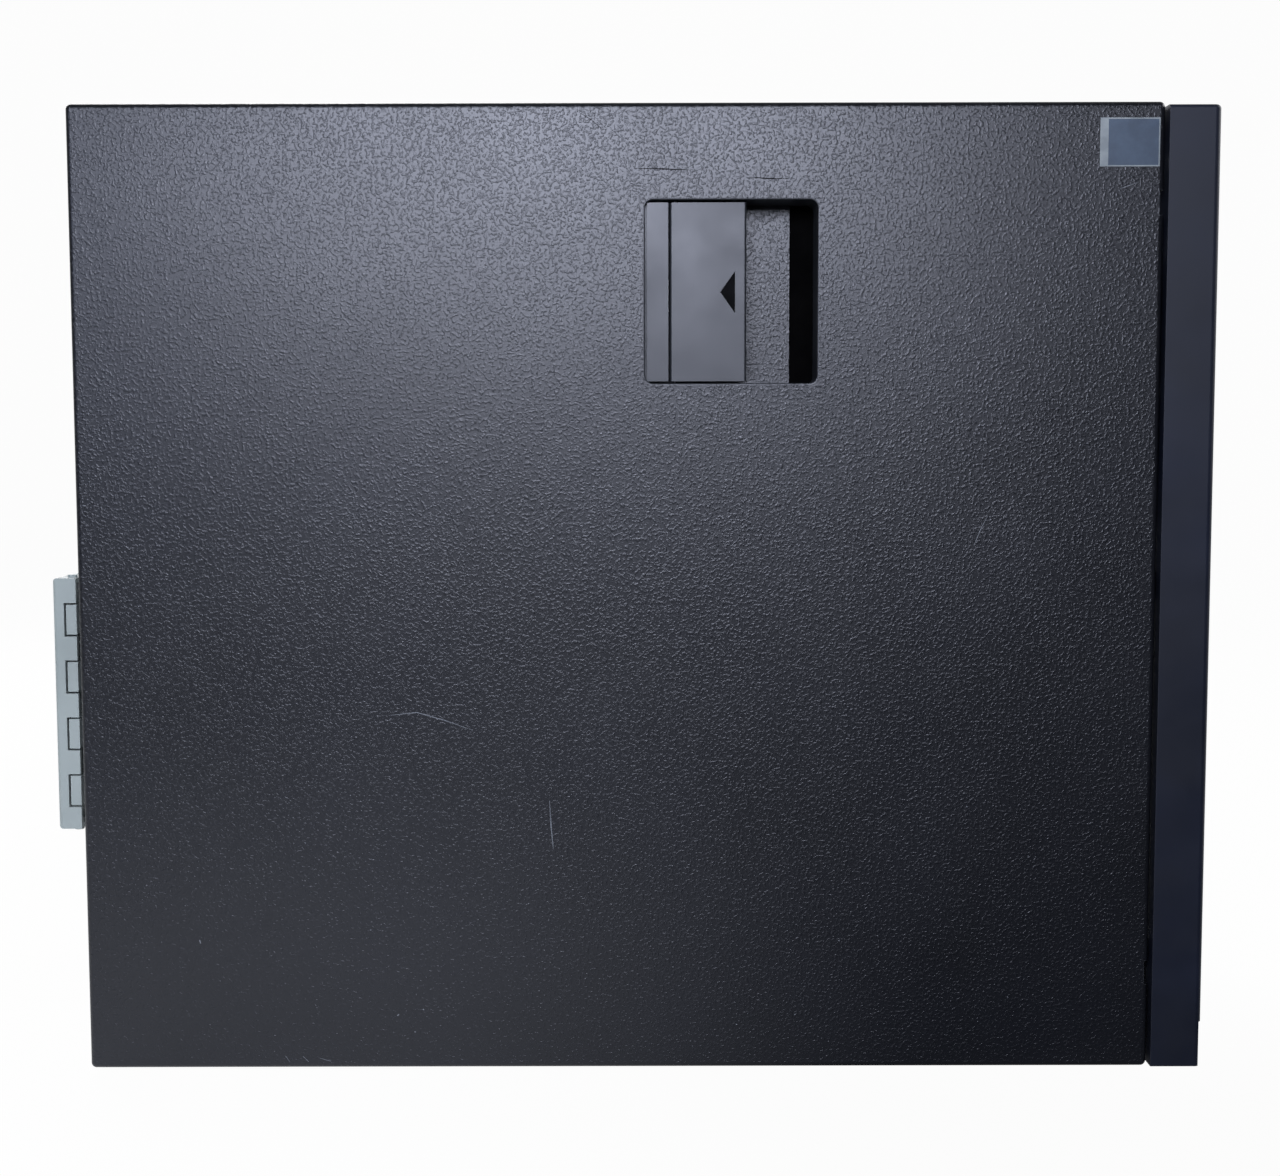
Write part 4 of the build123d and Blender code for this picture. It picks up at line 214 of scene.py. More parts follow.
def solder_masked_board():
    """Glass-fibre circuit board under green solder mask, with copper tracks showing through."""
    material, tree, shader, place = new_material("solder_masked_board", **{"IOR": 1.5, "Coat Weight": 0.3})
    flat = add(tree, "ShaderNodeMapping", {"Vector": place, "Rotation": (math.radians(90.0), 0.0, 0.0)})
    tracks = add(
        tree,
        "ShaderNodeTexBrick",
        {
            "Vector": flat.outputs["Vector"],
            "Scale": per_metre(9.0),
            "Mortar Size": 0.03,
            "Color1": srgb("#12331f"),
            "Color2": srgb("#153a23"),
            "Mortar": srgb("#2b5c3a"),
        },
    ).outputs
    rough = rough_between(tree, place, low=0.3, high=0.42, patch=8.0)
    finish_surface(tree, shader, tracks["Color"], rough, tracks["Fac"], strength=0.4, depth=0.03)
    return material


def matt_rubber():
    """Moulded black rubber, dusty and quite dull."""
    material, tree, shader, place = new_material("moulded_rubber", **{"IOR": 1.52, "Specular IOR Level": 0.3})
    colour = blotches(tree, place, "#151515", "#242322", patch=6.0)
    finish_surface(tree, shader, colour, rough_between(tree, place, low=0.75, high=0.9, patch=4.0))
    return material


def milky_polycarbonate():
    """Light pipe of milky polycarbonate, unlit: pale, smooth and a little clear."""
    sockets = {"IOR": 1.58, "Transmission Weight": 0.25}
    material, tree, shader, place = new_material("milky_polycarbonate", **sockets)
    colour = blotches(tree, place, "#c9d3d8", "#e6edf0", patch=3.0)
    finish_surface(tree, shader, colour, rough_between(tree, place, low=0.15, high=0.25, patch=2.0))
    return material


def woven_braid():
    """Black polyester braid of a cable sleeve: crossing strands, drawn coarse so that they show."""
    material, tree, shader, place = new_material("woven_polyester_braid", **{"IOR": 1.5})
    strands = []
    for slant in (BRAID_SLANT, -BRAID_SLANT):
        slanted = add(tree, "ShaderNodeMapping", {"Vector": place, "Rotation": (slant, slant, 0.0)})
        # A wave repeats about three times in the length of its scale
        band = add(tree, "ShaderNodeTexWave", {"Vector": slanted.outputs["Vector"], "Scale": per_metre(12.0)})
        strands.append(band.outputs["Fac"])
    weave = add(tree, "ShaderNodeMath", {0: strands[0], 1: strands[1]}, operation="MAXIMUM").outputs[0]
    colour = blotches(tree, place, "#0d0d0f", "#1c1c20", patch=4.0)
    rough = rough_between(tree, place, low=0.5, high=0.7, patch=3.0)
    finish_surface(tree, shader, colour, rough, weave, strength=0.6, depth=0.2)
    return material


def soft_dark_finish(name, dark, light, sheen=0.4, rough=(0.38, 0.55)):
    """Smooth finish with a soft or dull gloss, slightly dusty: vinyl, resin, ceramic, and near-black matt
    sheets.
    """
    material, tree, shader, place = new_material(name, **{"IOR": 1.53, "Specular IOR Level": sheen})
    colour = blotches(tree, place, dark, light, patch=8.0)
    finish_surface(tree, shader, colour, rough_between(tree, place, *rough, patch=5.0))
    return material


def plain_film(name, dark, light):
    """Thin film or paper with a soft satin face."""
    material, tree, shader, place = new_material(name, **{"IOR": 1.55, "Coat Weight": 0.15})
    colour = blotches(tree, place, dark, light, patch=5.0)
    finish_surface(tree, shader, colour, rough_between(tree, place, low=0.35, high=0.5, patch=3.0))
    return material


COAT = wrinkle_powder_coat()
BEZEL_ABS = moulded_plastic(
    "black_abs_bezel", "#0f1421", "#151b2c", grain=0.35, depth=0.015, rough=(0.42, 0.52)
)
LATCH_ABS = moulded_plastic("black_abs_latch", "#24272c", "#2d3036", grain=0.6, depth=0.012, sheen=0.6)
FAN_PBT = moulded_plastic("black_pbt_fan", "#111214", "#1a1b1e", rough=(0.4, 0.55))
SOCKET_NYLON = moulded_plastic("black_nylon_socket", "#151517", "#1f2023", rough=(0.45, 0.6))
PALE_ABS = moulded_plastic("pale_grey_abs", "#909a9a", "#9fa9a9", grain=0.7, wear=0.1)
BLUE_ABS = moulded_plastic("blue_abs_caddy", "#1f4f94", "#2a62ad", wear=0.1)
RED_ABS = moulded_plastic("red_abs_button", "#8a231c", "#a02d25", wear=0.1)
ZINC = bare_metal("zinc_plated_steel", "#a3a6a8", "#b9bcbe")
BRIGHT_STEEL = bare_metal("nickel_plated_steel", "#b9b9b6", "#cfcfcc", rough=(0.22, 0.34), spangle=3.0)
SATIN_ALUMINIUM = bare_metal("extruded_aluminium", "#b4b6b8", "#c6c8ca", rough=(0.3, 0.42), spangle=20.0)
CAST_ALUMINIUM = bare_metal("die_cast_aluminium", "#8f9193", "#a6a8aa", rough=(0.42, 0.55), spangle=4.0)
DARK_STEEL = bare_metal("black_oxide_steel", "#17181a", "#202124", rough=(0.4, 0.5))
BOARD = solder_masked_board()
RUBBER = matt_rubber()
MILKY = milky_polycarbonate()
SILVER_FILM = plain_film("silver_film", "#79838c", "#909aa2")
SLATE_FILM = plain_film("slate_film", "#30435b", "#3b4f68")
# Near-black matt film, in the paddle's sunk arrow and in the dark scrapes of the coat
NEAR_BLACK_MATT = soft_dark_finish("near_black_matt_film", "#08090b", "#0d0e12", sheen=0.06, rough=(0.7, 0.9))
SCRAPED_COAT = plain_film("scraped_coat", "#585d67", "#747a84")
# Dead-black matt sheet: painted shade in the deep finger slot of the latch pocket
SLOT_SHADE_SHEET = soft_dark_finish("slot_painted_shade", "#040405", "#070708", sheen=0.02, rough=(0.85, 0.95))
BRAID = woven_braid()
PVC = soft_dark_finish("black_vinyl_jacket", "#131315", "#1b1b1e")
CHIP_RESIN = soft_dark_finish("black_epoxy_resin", "#121314", "#1a1b1d", rough=(0.4, 0.55))
CERAMIC = soft_dark_finish("brown_ceramic", "#4a3a2c", "#6a5844", rough=(0.35, 0.5))
PAPER = plain_film("plain_white_paper", "#c9c8c2", "#d8d7d1")

FINISH = {
    COAT: ("side_cover", "right_side_panel", "top_panel", "base_pan"),
    BEZEL_ABS: (
        "front_bezel",
        "bezel_grille",
        "bay_blank",
        "front_io_panel",
        "optical_drive_front",
        "tray_door",
        "disc_tray",
        "eject_button",
    ),
    LATCH_ABS: ("latch_housing", "latch_paddle"),
    FAN_PBT: (
        "psu_fan_frame",
        "psu_fan_rotor",
        "system_fan_frame",
        "system_fan_rotor",
        "cooler_fan_frame",
        "cooler_fan_rotor",
    ),
    SOCKET_NYLON: ("power_inlet", "board_sockets", "io_plastic_ports", "power_components", "cpu_socket"),
    PALE_ABS: ("card_latch",),
    DARK_STEEL: ("latch_pin",),
    BLUE_ABS: ("hdd_caddy",),
    RED_ABS: ("psu_test_button",),
    ZINC: (
        "rear_wall",
        "rear_fan_grille",
        "front_wall",
        "drive_cage_near_plate",
        "drive_cage_far_plate",
        "drive_cage_shelf",
        "hdd_cage",
        "psu_case",
        "slot_covers",
        "card_latch_bracket",
        "optical_drive_case",
        "latch_bar",
    ),
    BRIGHT_STEEL: (
        "io_shield",
        "io_metal_ports",
        "front_ports",
        "screws",
        "latch_spring",
        "psu_guard",
        "coin_cell",
        "power_button",
    ),
    SATIN_ALUMINIUM: ("heatsink", "chipset_heatsink"),
    CAST_ALUMINIUM: ("hard_drive",),
    BOARD: ("motherboard", "memory_modules", "front_io_board"),
    RUBBER: ("rubber_feet", "power_loom", "sata_cable", "front_cable"),
    MILKY: ("indicator_lights",),
}
for material, names in FINISH.items():
    for name in names:
        NODES[name].data.materials.clear()
        NODES[name].data.materials.append(material)


# The pocket's floor has the cover's grain
POCKET_DEPTH = 18.0 * MM
POCKET_TOLERANCE = 0.5 * MM
FACING_OUT = -0.9
housing = NODES["latch_housing"].data
housing.materials.append(COAT)
for face in housing.polygons:
    if face.normal.y < FACING_OUT and abs(face.center.y - Y_FACE - POCKET_DEPTH) < POCKET_TOLERANCE:
        face.material_index = 1


# Helpers for making pieces

SCREW_SIDES = 20
ROUND_STEPS = 3


def new_piece(name, form, body, slot, *materials):
    """Piece made from a finished bmesh, riding on a body."""
    mesh = bpy.data.meshes.new(name)
    bmesh.ops.recalc_face_normals(form, faces=form.faces)
    form.to_mesh(mesh)
    form.free()
    for material in materials:
        mesh.materials.append(material)
    piece = bpy.data.objects.new(name, mesh)
    bpy.context.scene.collection.objects.link(piece)
    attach(piece, body)
    return piece


def add_box(form, low, high, edge=0.0, material=0):
    """Box between two corners, with its edges rounded off."""
    low, high = Vector(low), Vector(high)
    made = bmesh.ops.create_cube(form, size=1.0)["verts"]
    for vert in made:
        vert.co = Vector(low[i] if vert.co[i] < 0 else high[i] for i in range(3))
    faces = {face for vert in made for face in vert.link_faces}
    for face in faces:
        face.material_index = material
    if edge:
        edges = {line for face in faces for line in face.edges}
        rounded = bmesh.ops.bevel(form, geom=list(edges), offset=edge, segments=2, affect="EDGES")
        for face in rounded["faces"]:
            face.material_index = material


def add_lathe(form, profile, turn, sides=SCREW_SIDES):
    """Solid of revolution about the turn's Z axis, from (radius, height) points; returns its last ring."""
    rings = []
    for radius, height in profile:
        ring = []
        for i in range(sides):
            angle = math.tau * i / sides
            point = Vector((radius * math.cos(angle), radius * math.sin(angle), height))
            ring.append(form.verts.new(turn @ point))
        rings.append(ring)
    for one, two in zip(rings, rings[1:]):
        for i in range(sides):
            face = form.faces.new((one[i], one[(i + 1) % sides], two[(i + 1) % sides], two[i]))
            face.smooth = True
    form.faces.new(rings[0][::-1])
    return rings[-1]


def round_angles():
    """Angles of the steps of a quarter round, after its first point."""
    return [math.radians(90.0 * i / ROUND_STEPS) for i in range(1, ROUND_STEPS + 1)]


# Label, latch and marks on the cover

LABEL_SIZE = (21.7 * MM, 17.4 * MM)
LABEL_FROM_FRONT = 2.0 * MM
LABEL_FROM_TOP = 5.9 * MM
LABEL_BORDER = 0.5 * MM
LABEL_STRIP = 3.0 * MM
FILM = 0.16 * MM
INLAY = 0.05 * MM
FLAP_REACH = 14.0 * MM
FLAP_STEP = 7.3 * MM
FLAP_THICKNESS = 0.5 * MM
HOUSING_RIM = 4.0 * MM
RIM_RADIUS = 0.5 * MM
RIM_SHOW = 0.12 * MM
RIM_CORNER = 3.4 * MM
RIM_STEPS = 6
ARROW_BASE = 4.1 * MM
ARROW_TIP = 9.4 * MM
ARROW_HALF = 7.5 * MM
ARROW_SINK = 0.7 * MM


def make_label():
    """Plain film label at the cover's top front corner: a silver strip beside an empty slate field."""
    high = Vector((COVER_HIGH.x - LABEL_FROM_FRONT, Y_FACE, COVER_HIGH.z - LABEL_FROM_TOP))
    low = high - Vector((LABEL_SIZE[0], FILM, LABEL_SIZE[1]))
    form = bmesh.new()
    add_box(form, low, high, FILM / 3)
    field_low = low + Vector((LABEL_STRIP, -INLAY, LABEL_BORDER))
    field_high = high - Vector((LABEL_BORDER, 0.0, LABEL_BORDER))
    add_box(form, field_low, field_high, INLAY / 3, 1)
    new_piece("plain_label", form, "cover", "pale_plastic", SILVER_FILM, SLATE_FILM)


def make_slot_flap():
    """Dead-black flap behind the latch housing: painted shade that makes the deep finger slot look black."""
    low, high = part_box("latch_housing")
    back = high.y - FLAP_STEP
    form = bmesh.new()
    add_box(form, (high.x - FLAP_REACH, back, low.z), (high.x, back + FLAP_THICKNESS, high.z))
    new_piece("slot_shade_flap", form, "cover", "foot_rubber", SLOT_SHADE_SHEET)


def make_pocket_rim():
    """Rolled edge of the cover round the latch pocket."""
    low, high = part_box("latch_housing")
    inset = HOUSING_RIM - RIM_RADIUS + RIM_SHOW
    curve = bpy.data.curves.new("pocket_rim", "CURVE")
    curve.dimensions = "3D"
    curve.bevel_depth = RIM_RADIUS
    curve.bevel_resolution = 3
    spline = curve.splines.new("POLY")
    places = []
    for i, (x, z) in enumerate(((high.x, high.z), (low.x, high.z), (low.x, low.z), (high.x, low.z))):
        turn = RIM_CORNER + inset
        middle_x = x + (turn if x == low.x else -turn)
        middle_z = z + (turn if z == low.z else -turn)
        for k in range(RIM_STEPS + 1):
            angle = math.radians(90.0) * (i + k / RIM_STEPS)
            places.append((middle_x + RIM_CORNER * math.cos(angle), middle_z + RIM_CORNER * math.sin(angle)))
    spline.points.add(len(places) - 1)
    for point, (x, z) in zip(spline.points, places):
        point.co = (x, Y_FACE + RIM_RADIUS, z, 1.0)
    spline.use_cyclic_u = True
    rim = bpy.data.objects.new("pocket_rim", curve)
    bpy.context.scene.collection.objects.link(rim)
    curve.materials.append(LATCH_ABS)
    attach(rim, "cover")


def make_arrow():
    """Near-black matt film on the floor of the paddle's sunk arrow, darker than the paddle; the arrow points
    at the hinge.
    """
    low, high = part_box("latch_paddle")
    middle = (low.z + high.z) / 2
    y = low.y + ARROW_SINK
    corners = ((ARROW_BASE, ARROW_HALF), (ARROW_BASE, -ARROW_HALF), (ARROW_TIP, 0.0))
    form = bmesh.new()
    front = [form.verts.new((high.x - x, y - INLAY, middle + z)) for x, z in corners]
    back = [form.verts.new((high.x - x, y, middle + z)) for x, z in corners]
    form.faces.new(front)
    form.faces.new(back)
    for i in range(3):
        form.faces.new((front[i], back[i], back[(i + 1) % 3], front[(i + 1) % 3]))
    new_piece("arrow_dark_film", form, "latch_paddle", "black_plastic", NEAR_BLACK_MATT)


def make_latch_coil():
    """Wire coil of the cover latch, riding on the cover."""
    node = NODES["latch_spring"]
    form = bmesh.new()
    form.from_mesh(node.data)
    form.transform(node.matrix_world)
    coil = new_piece("latch_coil", form, "cover", "zinc_steel", BRIGHT_STEEL)
    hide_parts("latch_spring")
    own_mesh(coil)


# Marks of use on the cover: (X, Z) places in millimetres from the cover's bottom middle, and a width
LIGHT_MARKS = (
    (((-84.4, 134.0), (-74.3, 135.1), (-63.9, 132.1), (-53.6, 128.4)), 0.35),
    (((-25.3, 101.9), (-24.8, 92.7), (-24.0, 83.6)), 0.5),
    (((136.2, 207.2), (133.7, 202.5), (131.7, 197.4)), 0.3),
    (((182.2, 325.6), (186.0, 327.0), (189.2, 328.1)), 0.3),
    (((-156.6, 49.4), (-156.2, 48.0)), 1.2),
    (((-125.2, 4.8), (-123.6, 2.4)), 0.5),
    (((-118.7, 4.7), (-116.5, 2.4)), 0.5),
    (((-112.3, 3.9), (-108.2, 2.7)), 0.5),
)
DARK_MARKS = (
    (((7.3, 333.4), (17.1, 333.2), (26.6, 332.8)), 0.45),
    (((48.3, 330.3), (54.9, 329.7), (62.1, 329.6)), 0.4),
    (((-14.2, 354.0), (-8.8, 350.8), (-4.9, 347.6)), 0.25),
)
MARK_RISE = 0.03 * MM
MARK_END_SHARE = 0.35
# Small specks strewn over the lower part of the cover, in millimetres
SPECK_SEED = 3
SPECK_MARKS = 26
SPECK_WIDTH = (0.3, 0.6)
SPECK_HEIGHT = (8.0, 200.0)
SPECK_MARGIN = 6.0


def add_mark(form, places, width, material):
    """Thin scrape along a few places, widest in its middle."""
    middle = (COVER_LOW.x + COVER_HIGH.x) / 2
    points = [Vector((middle + x * MM, Y_FACE - MARK_RISE, COVER_LOW.z + z * MM)) for x, z in places]
    across = (points[-1] - points[0]).normalized().cross(Vector((0.0, 1.0, 0.0)))
    pairs = []
    for i, point in enumerate(points):
        share = MARK_END_SHARE if i in (0, len(points) - 1) else 1.0
        side = across * (width * MM * share / 2)
        pairs.append((form.verts.new(point - side), form.verts.new(point + side)))
    for one, two in zip(pairs, pairs[1:]):
        face = form.faces.new((one[0], one[1], two[1], two[0]))
        face.material_index = material


def make_marks():
    """Scrapes and chips in the cover's coat."""
    form = bmesh.new()
    for i, marks in enumerate((LIGHT_MARKS, DARK_MARKS)):
        for places, width in marks:
            add_mark(form, places, width, i)
    dice = random.Random(SPECK_SEED)
    half = (COVER_HIGH.x - COVER_LOW.x) / 2 / MM - SPECK_MARGIN
    for _ in range(SPECK_MARKS):
        x = dice.uniform(-half, half)
        z = dice.uniform(*SPECK_HEIGHT)
        width = dice.uniform(*SPECK_WIDTH)
        add_mark(form, ((x, z), (x + width, z + dice.uniform(-width, width))), 2.0 * width, 0)
    new_piece("coat_scrapes", form, "cover", "black_powder_coat", SCRAPED_COAT, NEAR_BLACK_MATT)


make_label()
make_slot_flap()
make_pocket_rim()
make_arrow()
make_latch_coil()
make_marks()


# Cables inside the case: each one's radius, bend radius and corners, in millimetres

CABLES = {
    "power_loom": (
        5.0,
        24.0,
        ((-66.35, -39.5, 70.0), (42.65, -39.5, 70.0), (42.65, -39.5, 170.0), (42.65, 64.9, 170.0)),
    ),
    "sata_cable": (
        1.8,
        8.0,
        (
            (39.65, 68.9, 120.0),
            (39.65, 7.0, 120.0),
            (61.75, 7.0, 120.0),
            (61.75, -71.0, 120.0),
            (61.75, -71.0, 20.0),
            (103.35, -71.0, 20.0),
            (103.35, -59.0, 20.0),
        ),
    ),
    "front_cable": (
        1.8,
        8.0,
        (
            (199.35, 27.0, 235.7),
            (61.75, 27.0, 235.7),
            (61.75, 27.0, 106.0),
            (61.75, 52.9, 106.0),
            (19.65, 52.9, 106.0),
            (19.65, 68.9, 106.0),
        ),
    ),
}
# Share of a bend's radius that its Bezier handles reach, for a round bend
ARC_HANDLE = 0.5523


def rounded_route(corners, bend):
    """Bezier knots (handle, point, handle) of a route with rounded square corners, and its length."""
    route = [(corners[0], corners[0], corners[0])]
    length = 0.0
    start = corners[0]
    for before, corner, after in zip(corners, corners[1:], corners[2:]):
        come, go = (corner - before).normalized(), (after - corner).normalized()
        enter, leave = corner - come * bend, corner + go * bend
        pull = bend * ARC_HANDLE
        route.append((enter - come * pull, enter, enter + come * pull))
        route.append((leave - go * pull, leave, leave + go * pull))
        length += (enter - start).length + bend * math.pi / 2
        start = leave
    route.append((corners[-1], corners[-1], corners[-1]))
    return route, length + (corners[-1] - start).length


def make_cable(node, radius, bend, places, sleeve):
    """Round cable along a route of corners, in the place of its plain solid."""
    corners = [Vector(place) * MM for place in places]
    route, length = rounded_route(corners, bend * MM)
    curve = bpy.data.curves.new(node + "_sleeve", "CURVE")
    curve.dimensions = "3D"
    curve.bevel_depth = radius * MM
    curve.bevel_resolution = 5
    curve.use_fill_caps = True
    spline = curve.splines.new("BEZIER")
    spline.bezier_points.add(len(route) - 1)
    for knot, (left, point, right) in zip(spline.bezier_points, route):
        knot.handle_left_type = "FREE"
        knot.handle_right_type = "FREE"
        knot.handle_left, knot.co, knot.handle_right = left, point, right
    cable = bpy.data.objects.new(node + "_sleeve", curve)
    bpy.context.scene.collection.objects.link(cable)
    curve.materials.append(sleeve)
    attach(cable, "chassis")
    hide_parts(node)


for node, (radius, bend, places) in CABLES.items():
    make_cable(node, radius, bend, places, BRAID if node == "power_loom" else PVC)


# Screws with pan heads and cross recesses

HEAD_HEIGHT = 2.0 * MM
HEAD_EDGE = 0.9 * MM
RECESS_ARM = 1.7 * MM
RECESS_HALF = 0.42 * MM
RECESS_DEPTH = 1.2 * MM
RECESS_TAPER = 0.8
THREAD_RADIUS = 1.7 * MM
# Share of the head's radius that is left at its top, and beyond which a point belongs to the head
HEAD_TOP_SHARE = 0.6
HEAD_REACH_SHARE = 0.8
SAME_PLACE = 1e-6


def spread_points(name):
    """Points of each separate solid of a node."""
    form = bmesh.new()
    form.from_mesh(NODES[name].data)
    bmesh.ops.remove_doubles(form, verts=form.verts, dist=SAME_PLACE)
    groups = []
    left = set(form.verts)
    while left:
        front = [left.pop()]
        group = []
        while front:
            vert = front.pop()
            group.append(vert.co.copy())
            near = {edge.other_vert(vert) for edge in vert.link_edges} & left
            left -= near
            front.extend(near)
        groups.append(group)
    form.free()
    return groups


def corners_of(points):
    """Low and high corner of some points."""
    low = Vector(min(point[i] for point in points) for i in range(3))
    high = Vector(max(point[i] for point in points) for i in range(3))
    return low, high


def cross_outline():
    """Twelve corners of a cross recess, in order round it."""
    outline = []
    for i in range(4):
        turn = Matrix.Rotation(math.radians(90.0 * i), 2)
        for point in ((RECESS_HALF, RECESS_HALF), (RECESS_ARM, RECESS_HALF), (RECESS_ARM, -RECESS_HALF)):
            outline.append(turn @ Vector((point[0], point[1])))
    return outline


def add_screw(form, seat, toward, radius, length):
    """Pan-head screw whose head points toward a direction from its seat."""
    turn = Matrix.Translation(seat) @ toward.to_track_quat("Z", "Y").to_matrix().to_4x4()
    profile = [(THREAD_RADIUS, -length), (THREAD_RADIUS, 0.0), (radius, 0.0), (radius, HEAD_EDGE)]
    for angle in round_angles():
        rise = (HEAD_HEIGHT - HEAD_EDGE) * math.sin(angle)
        share = HEAD_TOP_SHARE + (1.0 - HEAD_TOP_SHARE) * math.cos(angle)
        profile.append((radius * share, HEAD_EDGE + rise))
    ring = add_lathe(form, profile, turn)
    outline = cross_outline()
    rim = [form.verts.new(turn @ Vector((x, y, HEAD_HEIGHT))) for x, y in outline]
    sunk = HEAD_HEIGHT - RECESS_DEPTH
    bed = [form.verts.new(turn @ Vector((RECESS_TAPER * x, RECESS_TAPER * y, sunk))) for x, y in outline]
    edges = [form.edges.get((ring[i - 1], ring[i])) for i in range(len(ring))]
    edges += [form.edges.new((rim[i - 1], rim[i])) for i in range(len(rim))]
    bmesh.ops.triangle_fill(form, edges=edges, use_beauty=True)
    for i in range(len(rim)):
        form.faces.new((rim[i - 1], rim[i], bed[i], bed[i - 1]))
    form.faces.new(bed)


def make_screws():
    """Pan-head screws in the places of the plain ones."""
    form = bmesh.new()
    for points in spread_points("screws"):
        low, high = corners_of(points)
        size = high - low
        axis = min(range(3), key=lambda i: abs(size[i - 1] - size[i - 2]))
        radius = size[axis - 1] / 2
        middle = (low + high) / 2
        reach = HEAD_REACH_SHARE * radius
        head = [point for point in points if abs(point[axis - 1] - middle[axis - 1]) > reach]
        side = 1.0 if sum(point[axis] for point in head) / len(head) > middle[axis] else -1.0
        toward = Vector(side if i == axis else 0.0 for i in range(3))
        seat = middle + toward * (size[axis] / 2 - HEAD_HEIGHT)
        add_screw(form, seat, toward, radius, size[axis] - HEAD_HEIGHT)
    screws = new_piece("pan_head_screws", form, "chassis", "zinc_steel", BRIGHT_STEEL)
    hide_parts("screws")


make_screws()


# Fan wheels with curved blades

BLADES = 7
BLADE_STEPS = 7
HUB_SHARE = 0.435
HUB_ROUND = 2.0 * MM
HUB_SIDES = 48
BLADE_SPAN = math.radians(44.0)
BLADE_SWEEP = math.radians(16.0)
BLADE_HALF = 0.6 * MM
BLADE_INSET = 1.5 * MM
BLADE_BOW = 0.12


def blade_point(across, along, hub, tip, depth):
    """Point on a blade's middle: across runs from hub to tip, along from its front edge to its back."""
    radius = hub + (tip - hub) * across
    angle = BLADE_SPAN * (along - 0.5) + BLADE_SWEEP * across * across
    bow = BLADE_BOW * math.sin(math.pi * along)
    height = depth / 2 - BLADE_INSET - (depth - 2 * BLADE_INSET) * min(1.0, along + bow * (1 - along))
    return Vector((radius * math.cos(angle), radius * math.sin(angle), height))


def add_blade(form, turn, hub, tip, depth):
    """One curved blade of even thickness."""
    sides = []
    for lift in (BLADE_HALF, -BLADE_HALF):
        grid = []
        for i in range(BLADE_STEPS):
            row = []
            for j in range(BLADE_STEPS):
                point = blade_point(i / (BLADE_STEPS - 1), j / (BLADE_STEPS - 1), hub, tip, depth)
                row.append(form.verts.new(turn @ (point + Vector((0.0, 0.0, lift)))))
            grid.append(row)
        sides.append(grid)
        for i in range(BLADE_STEPS - 1):
            for j in range(BLADE_STEPS - 1):
                face = form.faces.new((grid[i][j], grid[i + 1][j], grid[i + 1][j + 1], grid[i][j + 1]))
                face.smooth = True
    last = BLADE_STEPS - 1
    border = [(i, 0) for i in range(last)] + [(last, j) for j in range(last)]
    border += [(last - i, last) for i in range(last)] + [(0, last - j) for j in range(last)]
    top, bottom = sides
    for (i, j), (k, m) in zip(border, border[1:] + border[:1]):
        form.faces.new((top[i][j], top[k][m], bottom[k][m], bottom[i][j]))


def make_fan_wheel(node, frame_node, body):
    """Hub and curved blades in the place of a plain fan wheel."""
    low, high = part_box(node)
    size = high - low
    axis = min(range(3), key=lambda i: size[i])
    depth = size[axis]
    tip = max(size) / 2
    frame_low, frame_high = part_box(frame_node)
    place = (frame_low + frame_high) / 2
    middle = (low + high) / 2
    toward = Vector((0.0, 0.0, 0.0))
    toward[axis] = math.copysign(1.0, middle[axis] - place[axis])
    place[axis] = middle[axis]
    turn = Matrix.Translation(place) @ toward.to_track_quat("Z", "Y").to_matrix().to_4x4()
    hub = tip * HUB_SHARE
    form = bmesh.new()
    profile = [(hub, -depth / 2), (hub, depth / 2 - HUB_ROUND)]
    for angle in round_angles():
        edge = HUB_ROUND * (1 - math.cos(angle))
        profile.append((hub - edge, depth / 2 - HUB_ROUND + HUB_ROUND * math.sin(angle)))
    form.faces.new(add_lathe(form, profile, turn, HUB_SIDES))
    for i in range(BLADES):
        add_blade(form, turn @ Matrix.Rotation(math.tau * i / BLADES, 4, "Z"), hub - BLADE_HALF, tip, depth)
    wheel = new_piece(node + "_wheel", form, body, "black_plastic", FAN_PBT)
    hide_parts(node)


for fan in ("cooler_fan", "system_fan", "psu_fan"):
    make_fan_wheel(fan + "_rotor", fan + "_frame", fan)


# Small parts on the boards and drives; those on the main board are sized in millimetres

BOARD_SEED = 7
CHIP_COUNT = 9
CHIP_SIZES = (5.0, 7.0, 10.0, 14.0)
CHIP_HEIGHT = 1.2
RESISTOR_COUNT = 110
RESISTOR_SIZE = (2.0, 1.2, 0.8)
CAN_COUNT = 10
CAN_RADIUS = 2.6
CAN_HEIGHT = 7.0
CAN_SHOULDER_SHARE = 0.94
CAN_TOP_SHARE = 0.9
CHIP_EDGE = 0.1 * MM
BOARD_MARGIN = 5.0 * MM
PART_GAP = 1.5 * MM
PLACE_TRIES = 60
MEMORY_CHIPS = 8
MEMORY_CHIP = (8.0 * MM, 11.0 * MM)
MEMORY_CHIP_HEIGHT = 0.9 * MM
DRIVE_STICKER_INSET = 14.0 * MM
SUPPLY_STICKER_INSET = 16.0 * MM


def keep_out():
    """X and Z boxes of the board that larger parts stand on or screws need."""
    names = ("board_sockets", "cpu_socket", "heatsink", "chipset_heatsink", "coin_cell")
    names += ("power_components", "io_metal_ports", "io_plastic_ports", "screws", "cooler_fan_frame")
    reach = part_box("motherboard")[0].y - CAN_HEIGHT * 2 * MM
    boxes = []
    for name in names:
        for points in spread_points(name):
            low, high = corners_of(points)
            if high.y > reach:
                boxes.append((low.x, high.x, low.z, high.z))
    return boxes


def free_place(dice, taken, half_x, half_z):
    """Random middle of a free spot on the board for a part, or nothing after many tries."""
    low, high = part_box("motherboard")
    for _ in range(PLACE_TRIES):
        x = dice.uniform(low.x + BOARD_MARGIN + half_x, high.x - BOARD_MARGIN - half_x)
        z = dice.uniform(low.z + BOARD_MARGIN + half_z, high.z - BOARD_MARGIN - half_z)
        mine = (x - half_x - PART_GAP, x + half_x + PART_GAP, z - half_z - PART_GAP, z + half_z + PART_GAP)
        if not any(mine[0] < b[1] and b[0] < mine[1] and mine[2] < b[3] and b[2] < mine[3] for b in taken):
            taken.append(mine)
            return x, z
    return None


